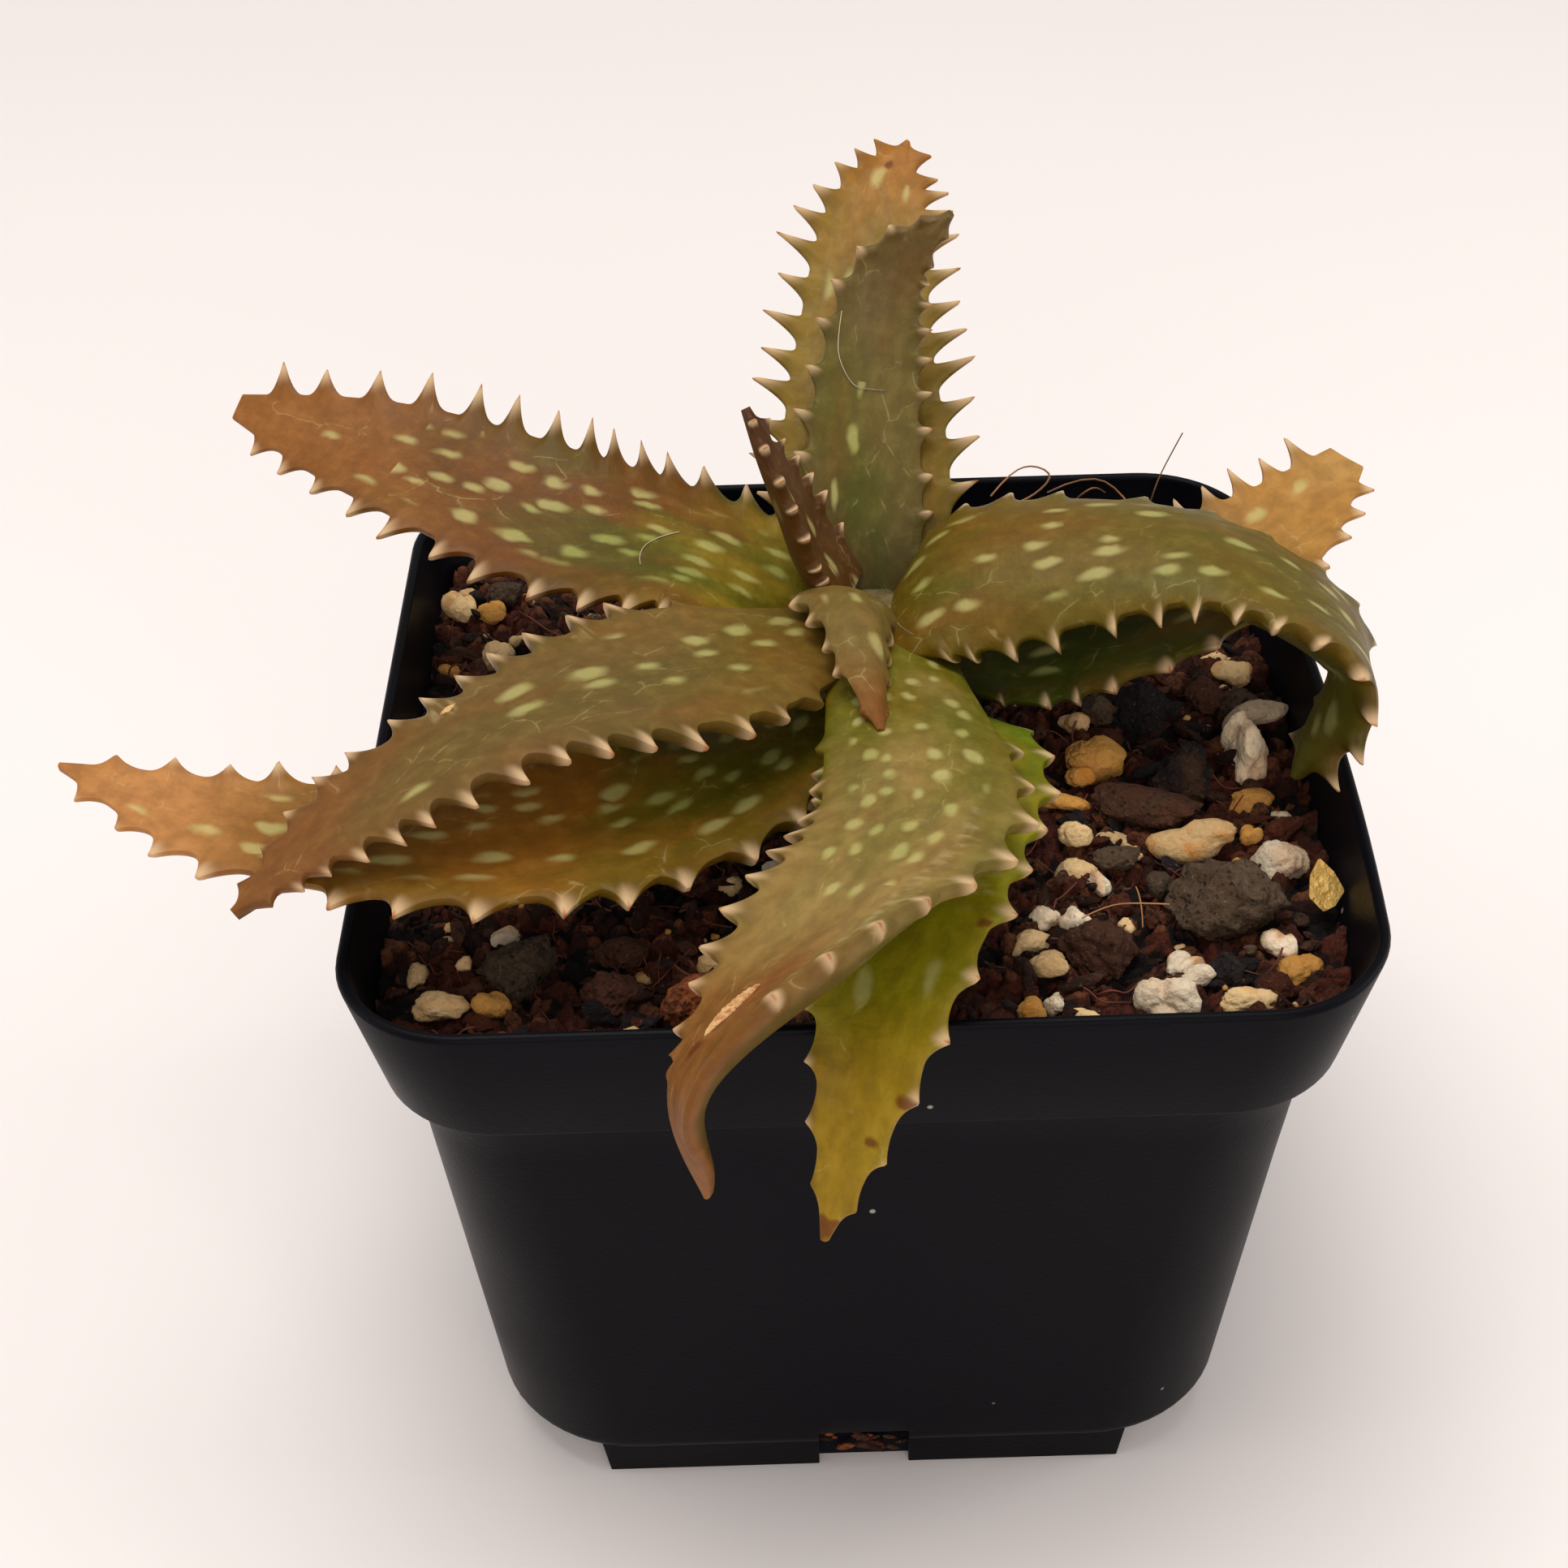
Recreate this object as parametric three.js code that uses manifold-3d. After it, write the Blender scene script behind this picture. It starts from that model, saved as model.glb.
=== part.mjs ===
// Potted aloe dorotheae hybrid in a square nursery pot, in millimetres, +Z up.
// The plant is laid out in the pot's own frame: the pot's axis is at x = 0, y = 0, its feet stand on z = 0.
import * as THREE from "three";
import { mergeVertices } from "three/addons/utils/BufferGeometryUtils.js";
import Module from "manifold-3d";

const wasm = await Module();
wasm.setup();

// Pot: half-widths, corner radii and heights of a rounded square
const potHeight = 67.5;
const potRim = { half: 45, corner: 11.4 };
const potBandFoot = { half: 42.7, corner: 11.5 };
const potShoulder = { half: 40.4, corner: 10 };
const potBottom = { half: 36.8, corner: 14.4 };
const potBandHeight = 13.5;
const potWall = 1.1;
const potCornerClearance = 4.2; // the corners end this high above the table
const potFloorTop = 5.3;
const lipRound = 0.4;
const cornerSteps = 6;
const footHalfLength = 25.5;
const footFlare = 0.8;
const footFace = 35.4;
const footDepth = 2.6;
const footRoot = 0.6; // how far a foot reaches up into the floor
const bottomRound = 1;
const notch = { width: 9, height: 6.4, depth: 1.2 };
const cutSpare = 4; // how far a cutter reaches past the face that it cuts

// Mix
const soilTop = 61.5;
const soilGap = 0.3;
const soilOutline = { half: 42.2, corner: 9.6 };
const soilEdgeDrop = 0.6;
const soilRings = 5;
const soilUnevenness = 0.8;
const grainCount = 44;
const grainRadius = { least: 1.1, most: 2.9 };
const grainLift = { least: 0.15, most: 0.45 }; // of its radius above the mix
const grainWidth = { least: 0.8, most: 1.3 };
const grainFlatness = 0.8;
const grainEdgeRoom = 3.5;
const grainSeed = 7;

// Stem
const stemAxis = new THREE.Vector2(3.3, 6);
const stemProfile = [[0, 50], [3.6, 51.5], [4.8, 58], [5.2, 66], [4.6, 71.5], [2.4, 74.6], [0, 75.4]];
const stemSides = 12;

// Leaves
const clearance = 0.32; // kept between neighbours
const stations = 18;
const marginThickness = 0.7;
const baseThickness = 4.4;
const tipThickness = 1;
const thinning = 1.8; // a blade thins slowly at first and fast towards its tip
const edgeRounding = 0.7;
const upperShare = 0.25; // of the thickness that stands above the middle surface
const sectionPlaces = [-1, -0.55, 0, 0.55, 1];
const leastHalfWidth = 0.3;
const waistEnd = 0.2; // share of the length over which the base widens
const toothFirst = 0.12; // share of the length before the first tooth
const toothSpan = 0.86;
const leastTooth = 0.3;
const toothRoot = 0.9; // how far a tooth is sunk into the blade
const toothHalfBase = 0.6; // of its length
const toothLean = 0.4;
const toothSet = -0.1;
const toothHalfThick = 0.34;
const toothPoint = 0.07;
const toothJitter = 0.22;
const toothSeed = 21;

const leafGreen = 0x77702c;
const leafTan = 0xa5702f;
const leafBrown = 0x5d4528;

// Each leaf: the midrib through five points, half-widths, roll and cupping in degrees at those points,
// and the number and length of the teeth on its left and right margin, looking outward from the stem,
// with how much of their length they lose towards the tip.
// The innermost leaf comes first, because it stays whole.
const leaves = [
  {
    name: "leaf_young_front",
    midrib: [[2, 8, 71], [0.9, 5.5, 77.1], [1.2, -1.5, 79.6], [1.7, -9.5, 79.3], [2.5, -19, 78.8]],
    halfWidth: [4.6, 5.3, 3.5, 2.3, 0.3], roll: [0, 2, 1, 0, 0], cup: [-15, -28, -45, -45, -30],
    teeth: [6, 6], tooth: [1.3, 1.3], dwindle: 0.6, waist: 1, thick: 0.8, colour: leafBrown,
  },
  {
    name: "leaf_young_back",
    midrib: [[0.5, 9, 75], [-2.5, 9.5, 80], [-4.5, 8.5, 86], [-6.5, 8.5, 91], [-8.5, 11, 95]],
    halfWidth: [4.4, 4.2, 3, 1.8, 0.3], roll: [0, -3, -1, 0, 0], cup: [35, 35, 35, 35, 30],
    teeth: [7, 6], tooth: [0.9, 1.7], dwindle: 0.3, waist: 1, thick: 0.6, colour: leafBrown,
  },
  {
    name: "leaf_back_inner",
    midrib: [[2.8, 9.5, 69], [2.5, 17.5, 79.5], [3.5, 26, 89.5], [6, 30, 99], [11.5, 28, 106]],
    halfWidth: [4.8, 6, 5, 3.3, 0.3], roll: [10, 8, 0, -4, -4], cup: [25, 25, 25, 25, 25],
    teeth: [10, 11], tooth: [2.1, 1.5], dwindle: 0.6, waist: 1, thick: 0.9, colour: leafGreen,
  },
  {
    name: "leaf_left_middle",
    midrib: [[0.5, 4.5, 73.5], [-16, -12.5, 81], [-30, -22.5, 83], [-43, -29.5, 79], [-52.5, -35.5, 74]],
    halfWidth: [7, 9.3, 6.8, 4.3, 0.3], roll: [-10, -6, 4, 0, 0], cup: [10, 10, 10, 10, 10],
    teeth: [15, 13], tooth: [2.3, 2.4], dwindle: 0.5, waist: 0.7, thick: 1, colour: leafGreen,
  },
  {
    name: "leaf_right_arching",
    midrib: [[4.5, 5.5, 73], [13, 4.5, 80.5], [33.5, 1, 84], [46.5, -8, 78], [42, -11, 66.5]],
    halfWidth: [8, 9, 8, 7.2, 0.3], roll: [-4, 17, -3, -32, -90], cup: [0, -15, -15, 10, 20],
    teeth: [13, 14], tooth: [1.9, 1.7], dwindle: -0.8, waist: 0.8, thick: 1.6, colour: leafGreen,
  },
  {
    name: "leaf_front_upper",
    midrib: [[4.5, 0.5, 74], [5, -30, 79.5], [-3.4, -46.2, 78.6], [-14.2, -58.6, 75], [-13.3, -56, 60]],
    halfWidth: [8, 8.3, 8.1, 3.9, 0.3], roll: [-6, 4, 24, 40, -22], cup: [-10, -10, 27, 10, 8],
    teeth: [14, 15], tooth: [2.8, 2.2], dwindle: 1.7, waist: 0.8, thick: 1, colour: leafGreen,
  },
  {
    name: "leaf_left_back",
    midrib: [[0, 9.5, 71], [-13.5, 11.5, 78], [-27, 14, 81.3], [-43, 22, 84.3], [-60.5, 32, 85.5]],
    halfWidth: [9, 9.5, 8.8, 6.8, 1.4], roll: [-22, -4, -16, -20, -45], cup: [15, 15, 15, 15, 15],
    teeth: [13, 14], tooth: [2.7, 3.9], dwindle: 0.25, waist: 0.7, thick: 1, colour: leafGreen,
  },
  {
    name: "leaf_right_back",
    midrib: [[8, 7.5, 68.5], [20.5, 6, 73], [31.5, 5, 76.5], [42, 11, 79.5], [51, 21.5, 81.5]],
    halfWidth: [9, 10.3, 9, 6, 2], roll: [-2, 18, 12, 20, 28], cup: [15, 15, 15, 15, 15],
    teeth: [12, 12], tooth: [2.7, 1.5], dwindle: -0.1, waist: 0.7, thick: 0.8, colour: leafTan,
  },
  {
    name: "leaf_left_low",
    midrib: [[-3, 1.5, 68], [-14.5, -18, 71.5], [-31, -27.5, 74], [-52, -25.5, 75], [-70.5, -16.5, 76]],
    halfWidth: [7.8, 8.5, 7.8, 5.3, 0.3], roll: [16, -11, -12, -15, -34], cup: [15, 15, 15, 15, 15],
    teeth: [14, 13], tooth: [1.9, 2.3], dwindle: 0.5, waist: 0.8, thick: 1, colour: leafGreen,
  },
  {
    name: "leaf_front_low",
    midrib: [[5.5, 0.5, 67.5], [7.5, -17, 73], [4.5, -34.5, 74], [0, -50.5, 69], [-4, -57.5, 56]],
    halfWidth: [8.5, 9.6, 8.2, 4.8, 0.3], roll: [-4, 0, 5, 16, 0], cup: [5, 5, 5, 5, 5],
    teeth: [11, 10], tooth: [1.7, 1.7], dwindle: 0.6, waist: 0.7, thick: 1, colour: leafGreen,
  },
  {
    name: "leaf_back_outer",
    midrib: [[3, 11.5, 68], [3, 21.5, 81], [3.5, 34, 90], [5.5, 46.5, 98], [9, 54.5, 102.5]],
    halfWidth: [8, 8.5, 6.8, 5, 0.3], roll: [-6, -5, -2, 0, 1], cup: [15, 15, 15, 15, 15],
    teeth: [14, 13], tooth: [3.8, 3.9], dwindle: 0.5, waist: 0.7, thick: 0.9, colour: leafTan,
  },
];

// Stones that stand out in the mix: middle and half-sizes
const lavaGrey = 0x5b5653;
const lavaBrown = 0x6b4a38;
const pumiceWhite = 0xd9cbb3;
const stones = [
  { name: "stone_lava_grey", at: [33.5, -24, 62.5], half: [5.7, 5, 4.2], colour: lavaGrey, seed: 1 },
  { name: "stone_lava_dark", at: [32.2, -4, 62], half: [3.1, 3.8, 3.4], colour: lavaGrey, seed: 2 },
  { name: "stone_lava_back", at: [29.5, 7.5, 61.8], half: [4, 3.6, 3], colour: lavaGrey, seed: 3 },
  { name: "stone_lava_front", at: [21.5, -30, 62], half: [3.6, 3.3, 3], colour: lavaBrown, seed: 4 },
  { name: "stone_grey_left", at: [-29.8, -30.2, 62], half: [3.8, 3.4, 3], colour: lavaGrey, seed: 5 },
  { name: "stone_brown_left", at: [-21.8, -33.2, 62], half: [2.9, 2.6, 2.5], colour: lavaBrown, seed: 6 },
  { name: "stone_orange_left", at: [-14.6, -34, 62], half: [3.1, 2.7, 2.5], colour: lavaBrown, seed: 7 },
  { name: "stone_pumice_tall", at: [38.9, -0.5, 62.5], half: [2.3, 4.2, 3.4], colour: pumiceWhite, seed: 8 },
  { name: "stone_pumice_wide", at: [24.3, -1.5, 62], half: [3, 2.4, 2.4], colour: pumiceWhite, seed: 9 },
  { name: "stone_pumice_front", at: [26.2, -37, 62], half: [2.8, 2.4, 2.4], colour: pumiceWhite, seed: 10 },
];
const stoneDetail = 1;
const stoneRoughness = 0.16;

// Small helpers: seeded draws, solids and meshes
function seededDraws(seed) {
  let state = seed >>> 0;
  return () => {
    state = (state + 0x6d2b79f5) >>> 0;
    let mixed = Math.imul(state ^ (state >>> 15), 1 | state);
    mixed = (mixed + Math.imul(mixed ^ (mixed >>> 7), 61 | mixed)) ^ mixed;
    return ((mixed ^ (mixed >>> 14)) >>> 0) / 4294967296;
  };
}

function solidOf(geometry) {
  const bare = geometry.clone();
  bare.deleteAttribute("normal");
  bare.deleteAttribute("uv");
  const merged = mergeVertices(bare, 1e-4);
  return new wasm.Manifold(new wasm.Mesh({
    numProp: 3,
    vertProperties: merged.attributes.position.array,
    triVerts: new Uint32Array(merged.index.array),
  }));
}

function geometryOf(solid) {
  const mesh = solid.getMesh();
  const geometry = new THREE.BufferGeometry();
  geometry.setAttribute("position", new THREE.BufferAttribute(new Float32Array(mesh.vertProperties), 3));
  geometry.setIndex(new THREE.BufferAttribute(new Uint32Array(mesh.triVerts), 1));
  geometry.computeVertexNormals();
  return geometry;
}

function largestBody(solid) {
  return solid.decompose().sort((a, b) => b.volume() - a.volume())[0];
}

function meshOf(name, solid, colour, roughness) {
  const material = new THREE.MeshStandardMaterial({ color: colour, roughness, flatShading: true });
  const mesh = new THREE.Mesh(geometryOf(solid), material);
  mesh.name = name;
  return mesh;
}

// A skin through equal rings of points, closed by a flat fan at each end.
// Its two halves are split into triangles as mirror images, so that both faces of a blade bend alike.
function loftGeometry(rings) {
  const count = rings[0].length;
  const positions = rings.flat().flatMap((point) => [point.x, point.y, point.z]);
  const faces = [];
  for (let ring = 0; ring + 1 < rings.length; ring++) {
    for (let i = 0; i < count; i++) {
      const a = ring * count + i;
      const b = ring * count + ((i + 1) % count);
      if (i < count / 2) {
        faces.push(a, b, b + count, a, b + count, a + count);
      } else {
        faces.push(a, b, a + count, b, b + count, a + count);
      }
    }
  }
  const last = (rings.length - 1) * count;
  for (let i = 1; i + 1 < count; i++) {
    faces.push(0, i + 1, i);
    faces.push(last, last + i, last + i + 1);
  }
  const geometry = new THREE.BufferGeometry();
  geometry.setAttribute("position", new THREE.Float32BufferAttribute(positions, 3));
  geometry.setIndex(faces);
  return geometry;
}

// Pot
function roundedSquare({ half, corner }, z) {
  const points = [];
  for (let quarter = 0; quarter < 4; quarter++) {
    const start = (quarter * Math.PI) / 2;
    const turn = new THREE.Vector2(half - corner, half - corner).rotateAround(new THREE.Vector2(), start);
    for (let step = 0; step <= cornerSteps; step++) {
      const angle = start + (step / cornerSteps) * (Math.PI / 2);
      points.push(new THREE.Vector3(turn.x + corner * Math.cos(angle), turn.y + corner * Math.sin(angle), z));
    }
  }
  return points;
}

function inset({ half, corner }, by) {
  return { half: half - by, corner: corner - by };
}

const bandFootZ = potHeight - potBandHeight;
const innerRings = [
  [inset(potBottom, potWall), potFloorTop],
  [inset(potShoulder, potWall), bandFootZ - potWall],
  [inset(potBandFoot, potWall), bandFootZ + potWall],
  [inset(potRim, potWall), potHeight - lipRound],
];

function makePot() {
  const outerRings = [
    [inset(potBottom, bottomRound), potCornerClearance],
    [potBottom, potCornerClearance + bottomRound],
    [potShoulder, bandFootZ],
    [inset(potBandFoot, lipRound / 2), bandFootZ],
    [potBandFoot, bandFootZ + lipRound],
    [potRim, potHeight - lipRound],
    [inset(potRim, lipRound), potHeight],
    [inset(potRim, potWall - lipRound / 2), potHeight],
  ];
  const rings = [...outerRings, ...innerRings.toReversed()];
  let pot = solidOf(loftGeometry(rings.map(([shape, z]) => roundedSquare(shape, z))));

  const footTop = potCornerClearance + footRoot;
  const footOutline = new THREE.Shape([
    new THREE.Vector2(-footHalfLength, 0),
    new THREE.Vector2(footHalfLength, 0),
    new THREE.Vector2(footHalfLength + footFlare, footTop),
    new THREE.Vector2(-footHalfLength - footFlare, footTop),
  ]);
  const cutHeight = notch.height + cutSpare;
  for (let side = 0; side < 4; side++) {
    const turn = (side * Math.PI) / 2;
    const foot = new THREE.ExtrudeGeometry(footOutline, { depth: footDepth, bevelEnabled: false });
    foot.rotateX(Math.PI / 2).translate(0, footDepth - footFace, 0).rotateZ(turn);
    pot = pot.add(solidOf(foot));
    const gap = new THREE.BoxGeometry(notch.width, notch.depth + cutSpare, cutHeight);
    gap.translate(0, (notch.depth - cutSpare) / 2 - footFace, notch.height - cutHeight / 2).rotateZ(turn);
    pot = pot.subtract(solidOf(gap));
  }
  return pot;
}

// Mix: follows the pot's inside with a small gap, and is rough with grains on top
function roughStone(at, half, seed, grow = 0) {
  const draw = seededDraws(seed * 101);
  const stone = new THREE.IcosahedronGeometry(1, stoneDetail);
  stone.deleteAttribute("normal");
  stone.deleteAttribute("uv");
  const merged = mergeVertices(stone, 1e-4);
  const place = merged.attributes.position;
  const turn = new THREE.Euler(draw() * 0.5, draw() * 0.5, draw() * Math.PI);
  for (let i = 0; i < place.count; i++) {
    const reach = 1 + (draw() - 0.5) * 2 * stoneRoughness;
    const point = new THREE.Vector3().fromBufferAttribute(place, i).multiplyScalar(reach);
    point.applyEuler(turn).multiply(new THREE.Vector3(half[0] + grow, half[1] + grow, half[2] + grow));
    place.setXYZ(i, point.x + at[0], point.y + at[1], point.z + at[2]);
  }
  return solidOf(merged);
}

function between({ least, most }, share) {
  return least + (most - least) * share;
}

function grain(draw) {
  const reach = potShoulder.half - grainEdgeRoom;
  const radius = between(grainRadius, draw() ** 2);
  const geometry = new THREE.OctahedronGeometry(radius, 0);
  geometry.rotateX(draw() * Math.PI).rotateZ(draw() * 2 * Math.PI);
  geometry.scale(1, between(grainWidth, draw()), grainFlatness);
  const x = (draw() * 2 - 1) * reach;
  const y = (draw() * 2 - 1) * reach;
  geometry.translate(x, y, soilTop + radius * between(grainLift, draw()));
  return geometry;
}

function makeSoil(stem) {
  const draw = seededDraws(grainSeed);
  const lower = innerRings.slice(0, 3).map(([shape, z]) =>
    roundedSquare(inset(shape, soilGap), z === potFloorTop ? z + soilGap : z));
  const rings = [...lower, roundedSquare(inset(soilOutline, soilGap), soilTop - soilEdgeDrop)];
  for (let ring = 1; ring < soilRings; ring++) {
    const share = 1 - ring / soilRings;
    rings.push(roundedSquare(soilOutline, soilTop).map((point) =>
      new THREE.Vector3(point.x * share, point.y * share, soilTop + (draw() - 0.5) * 2 * soilUnevenness)));
  }
  let soil = solidOf(loftGeometry(rings));
  for (let i = 0; i < grainCount; i++) {
    soil = soil.add(solidOf(grain(draw)));
  }
  for (const { at, half, seed } of stones) {
    soil = soil.subtract(roughStone(at, half, seed, soilGap));
  }
  return largestBody(soil.subtract(stem));
}

// Stem: one turned stub, its foot sunk in the mix
function makeStem(grow) {
  const profile = stemProfile.map(([radius, z], i) =>
    new THREE.Vector2(radius === 0 ? 0 : radius + grow, i === 0 ? z - grow : z));
  const stem = new THREE.LatheGeometry(profile, stemSides);
  stem.rotateX(Math.PI / 2).translate(stemAxis.x, stemAxis.y, 0);
  return solidOf(stem);
}

// Leaves: a thick, cupped blade about its midrib, with hooked teeth along both margins
function leafFrames(leaf) {
  const points = leaf.midrib.map((p) => new THREE.Vector3(...p));
  const midrib = new THREE.CatmullRomCurve3(points, false, "catmullrom");
  const shape = new THREE.CatmullRomCurve3(
    leaf.halfWidth.map((w, i) => new THREE.Vector3(w, leaf.roll[i], leaf.cup[i])), false, "catmullrom");
  const [first, second] = midrib.points;
  const outward = new THREE.Vector3(second.x - first.x, second.y - first.y, 0).normalize();
  let across = new THREE.Vector3(-outward.y, outward.x, 0);
  const frames = [];
  for (let i = 0; i <= stations; i++) {
    const t = i / stations;
    const along = midrib.getTangent(t);
    across = across.clone().addScaledVector(along, -along.dot(across)).normalize();
    const { x: width, y: roll, z: cup } = shape.getPoint(t);
    const side = across.clone().applyAxisAngle(along, THREE.MathUtils.degToRad(roll));
    const waist = THREE.MathUtils.lerp(leaf.waist, 1, THREE.MathUtils.smoothstep(t, 0, waistEnd));
    frames.push({
      t, along, side,
      at: midrib.getPoint(t),
      up: new THREE.Vector3().crossVectors(along, side),
      width: Math.max(width, leastHalfWidth) * waist,
      cup: THREE.MathUtils.degToRad(cup),
      thick: THREE.MathUtils.lerp(baseThickness, tipThickness, t ** thinning) * leaf.thick,
    });
  }
  return frames;
}

// A point of the middle surface, v from -1 (right margin) to 1 (left margin), with its directions
function bladePoint(frame, v, grow = 0) {
  const bend = Math.abs(frame.cup) < 1e-3 ? 1e-3 : frame.cup;
  const reach = frame.width + grow;
  const sideways = (reach * Math.sin(v * bend)) / bend;
  const lift = (reach * (1 - Math.cos(v * bend))) / bend;
  const slope = v * bend;
  return {
    point: frame.at.clone().addScaledVector(frame.side, sideways).addScaledVector(frame.up, lift),
    outward: frame.side.clone().multiplyScalar(Math.cos(slope)).addScaledVector(frame.up, Math.sin(slope)),
    normal: frame.up.clone().multiplyScalar(Math.cos(slope)).addScaledVector(frame.side, -Math.sin(slope)),
  };
}

function bladeRing(frame, grow) {
  const face = (sign, share) => sectionPlaces.map((v) => {
    const { point, normal } = bladePoint(frame, v, grow);
    const bulge = share * frame.thick * (1 - v * v) ** edgeRounding;
    return point.addScaledVector(normal, sign * (marginThickness / 2 + bulge + grow));
  });
  return [...face(1, upperShare).reverse(), ...face(-1, 1 - upperShare)];
}

function toothGeometry(frame, side, length, grow) {
  const { point, outward, normal } = bladePoint(frame, side);
  const out = outward.multiplyScalar(side);
  const ring = (reach, forward, halfLength, halfThick) => {
    const middle = point.clone().addScaledVector(out, reach).addScaledVector(frame.along, forward);
    const corners = [[-1, 0], [0, -1], [1, 0], [0, 1]].map(([l, n]) => middle.clone()
      .addScaledVector(frame.along, l * (halfLength + grow))
      .addScaledVector(normal, n * (halfThick + grow)));
    return side > 0 ? corners.reverse() : corners;
  };
  return loftGeometry([
    ring(-toothRoot, toothSet * length, toothHalfBase * length, toothHalfThick),
    ring(length + grow, toothLean * length, toothPoint, toothPoint),
  ]);
}

// Teeth are half as long at the base, and on most leaves dwindle towards the tip
function toothSize(t, dwindle) {
  const rise = THREE.MathUtils.smoothstep(t, 0.1, 0.35);
  const fall = THREE.MathUtils.smoothstep(t, 0.6, 1);
  return 0.5 + 0.5 * rise - dwindle * fall;
}

function makeLeaf(leaf, grow = 0) {
  const frames = leafFrames(leaf);
  let solid = solidOf(loftGeometry(frames.map((frame) => bladeRing(frame, grow))));
  const draw = seededDraws(toothSeed + leaf.name.length * 13 + leaf.teeth[0]);
  [1, -1].forEach((side, margin) => {
    const count = leaf.teeth[margin];
    for (let i = 0; i < count; i++) {
      const t = toothFirst + (toothSpan * (i + 0.5 + toothJitter * (draw() - 0.5))) / count;
      const length = leaf.tooth[margin] * toothSize(t, leaf.dwindle) * (0.85 + 0.3 * draw());
      const frame = frames[Math.round(t * stations)];
      if (length > leastTooth) {
        solid = solid.add(solidOf(toothGeometry(frame, side, length, grow)));
      }
    }
  });
  return solid;
}

// Assembly: an inner leaf stays whole, and each further one is trimmed clear of those before it
const plant = new THREE.Group();
plant.add(meshOf("pot", makePot(), 0x1b191f, 0.45));

const grownLeaves = [];
for (const leaf of leaves) {
  let solid = makeLeaf(leaf);
  for (const inner of grownLeaves) {
    solid = solid.subtract(inner);
  }
  plant.add(meshOf(leaf.name, largestBody(solid), leaf.colour, 0.45));
  grownLeaves.push(makeLeaf(leaf, clearance));
}

let stem = makeStem(0);
for (const inner of grownLeaves) {
  stem = stem.subtract(inner);
}
plant.add(meshOf("stem", largestBody(stem), leafGreen, 0.6));
plant.add(meshOf("soil", makeSoil(makeStem(soilGap)), 0x33231a, 0.95));
for (const { name, at, half, colour, seed } of stones) {
  plant.add(meshOf(name, roughStone(at, half, seed), colour, 0.9));
}

// The origin is on the table, in the middle of the whole part's outline from above
const outline = new THREE.Box3().setFromObject(plant);
const middle = outline.getCenter(new THREE.Vector3());
plant.position.set(-middle.x, -middle.y, -outline.min.z);

export default plant;
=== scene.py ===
import math
import random
import bmesh
import bpy
import numpy as np
from mathutils import Euler, Matrix, Vector, noise


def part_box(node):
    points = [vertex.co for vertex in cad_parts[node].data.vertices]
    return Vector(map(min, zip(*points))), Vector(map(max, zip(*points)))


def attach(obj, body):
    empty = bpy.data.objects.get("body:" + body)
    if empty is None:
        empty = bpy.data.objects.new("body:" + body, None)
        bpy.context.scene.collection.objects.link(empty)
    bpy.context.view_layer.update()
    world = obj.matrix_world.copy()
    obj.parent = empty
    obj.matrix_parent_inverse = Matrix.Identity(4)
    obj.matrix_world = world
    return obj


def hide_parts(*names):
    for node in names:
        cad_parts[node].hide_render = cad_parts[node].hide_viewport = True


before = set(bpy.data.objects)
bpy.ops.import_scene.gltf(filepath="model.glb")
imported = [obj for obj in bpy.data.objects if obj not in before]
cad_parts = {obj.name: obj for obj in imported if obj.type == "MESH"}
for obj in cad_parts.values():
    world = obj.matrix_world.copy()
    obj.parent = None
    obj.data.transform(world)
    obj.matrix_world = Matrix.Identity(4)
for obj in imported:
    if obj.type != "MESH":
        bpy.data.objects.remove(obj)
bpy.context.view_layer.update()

mm = 0.001
potLow, potHigh = (Vector(corner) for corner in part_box("pot"))
potMiddle = Vector(((potLow.x + potHigh.x) / 2, (potLow.y + potHigh.y) / 2, potLow.z))


def place(x, y, z):                       # pot coordinates in millimetres to metres in the frame
    return potMiddle + Vector((x, y, z)) * mm


def clearSelection():
    if bpy.context.object and bpy.context.object.mode != "OBJECT":
        bpy.ops.object.mode_set(mode="OBJECT")
    bpy.ops.object.select_all(action="DESELECT")


def makeActive(piece):
    clearSelection()
    piece.select_set(True)
    bpy.context.view_layer.objects.active = piece


def pointsOf(mesh):
    flat = np.empty(len(mesh.vertices) * 3)
    mesh.vertices.foreach_get("co", flat)
    return flat.reshape(-1, 3)


def setPoints(mesh, points):
    mesh.vertices.foreach_set("co", np.asarray(points, dtype=float).ravel())
    mesh.update()


def placePoints(mesh, points):            # points in the pot's millimetres
    setPoints(mesh, points * mm + np.array(potMiddle))


def removePiece(piece):
    bpy.data.objects.remove(piece, do_unlink=True)


def closeMesh():                          # the last step in edit mode
    bpy.ops.mesh.select_all(action="SELECT")
    bpy.ops.mesh.normals_make_consistent(inside=False)
    bpy.ops.object.mode_set(mode="OBJECT")


def smoothStep(x):
    x = np.clip(x, 0, 1)
    return x * x * (3 - 2 * x)


def between(x, low, high):                # a soft step from 0 at low to 1 at high
    return smoothStep((x - low) / (high - low))


potBow = {"by": 1.9, "low": 42, "high": 64, "halfLength": 40, "inner": 25, "outer": 40}


def bowSide(points):                      # the rim's right side bulges a little, as soft pots do
    x, y, z = points.T
    share = between(z, potBow["low"], potBow["high"]) * between(x, potBow["inner"], potBow["outer"])
    share *= np.clip(1 - (y / potBow["halfLength"]) ** 2, 0, 1)
    return np.column_stack([x + potBow["by"] * share, y, z])


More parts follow.
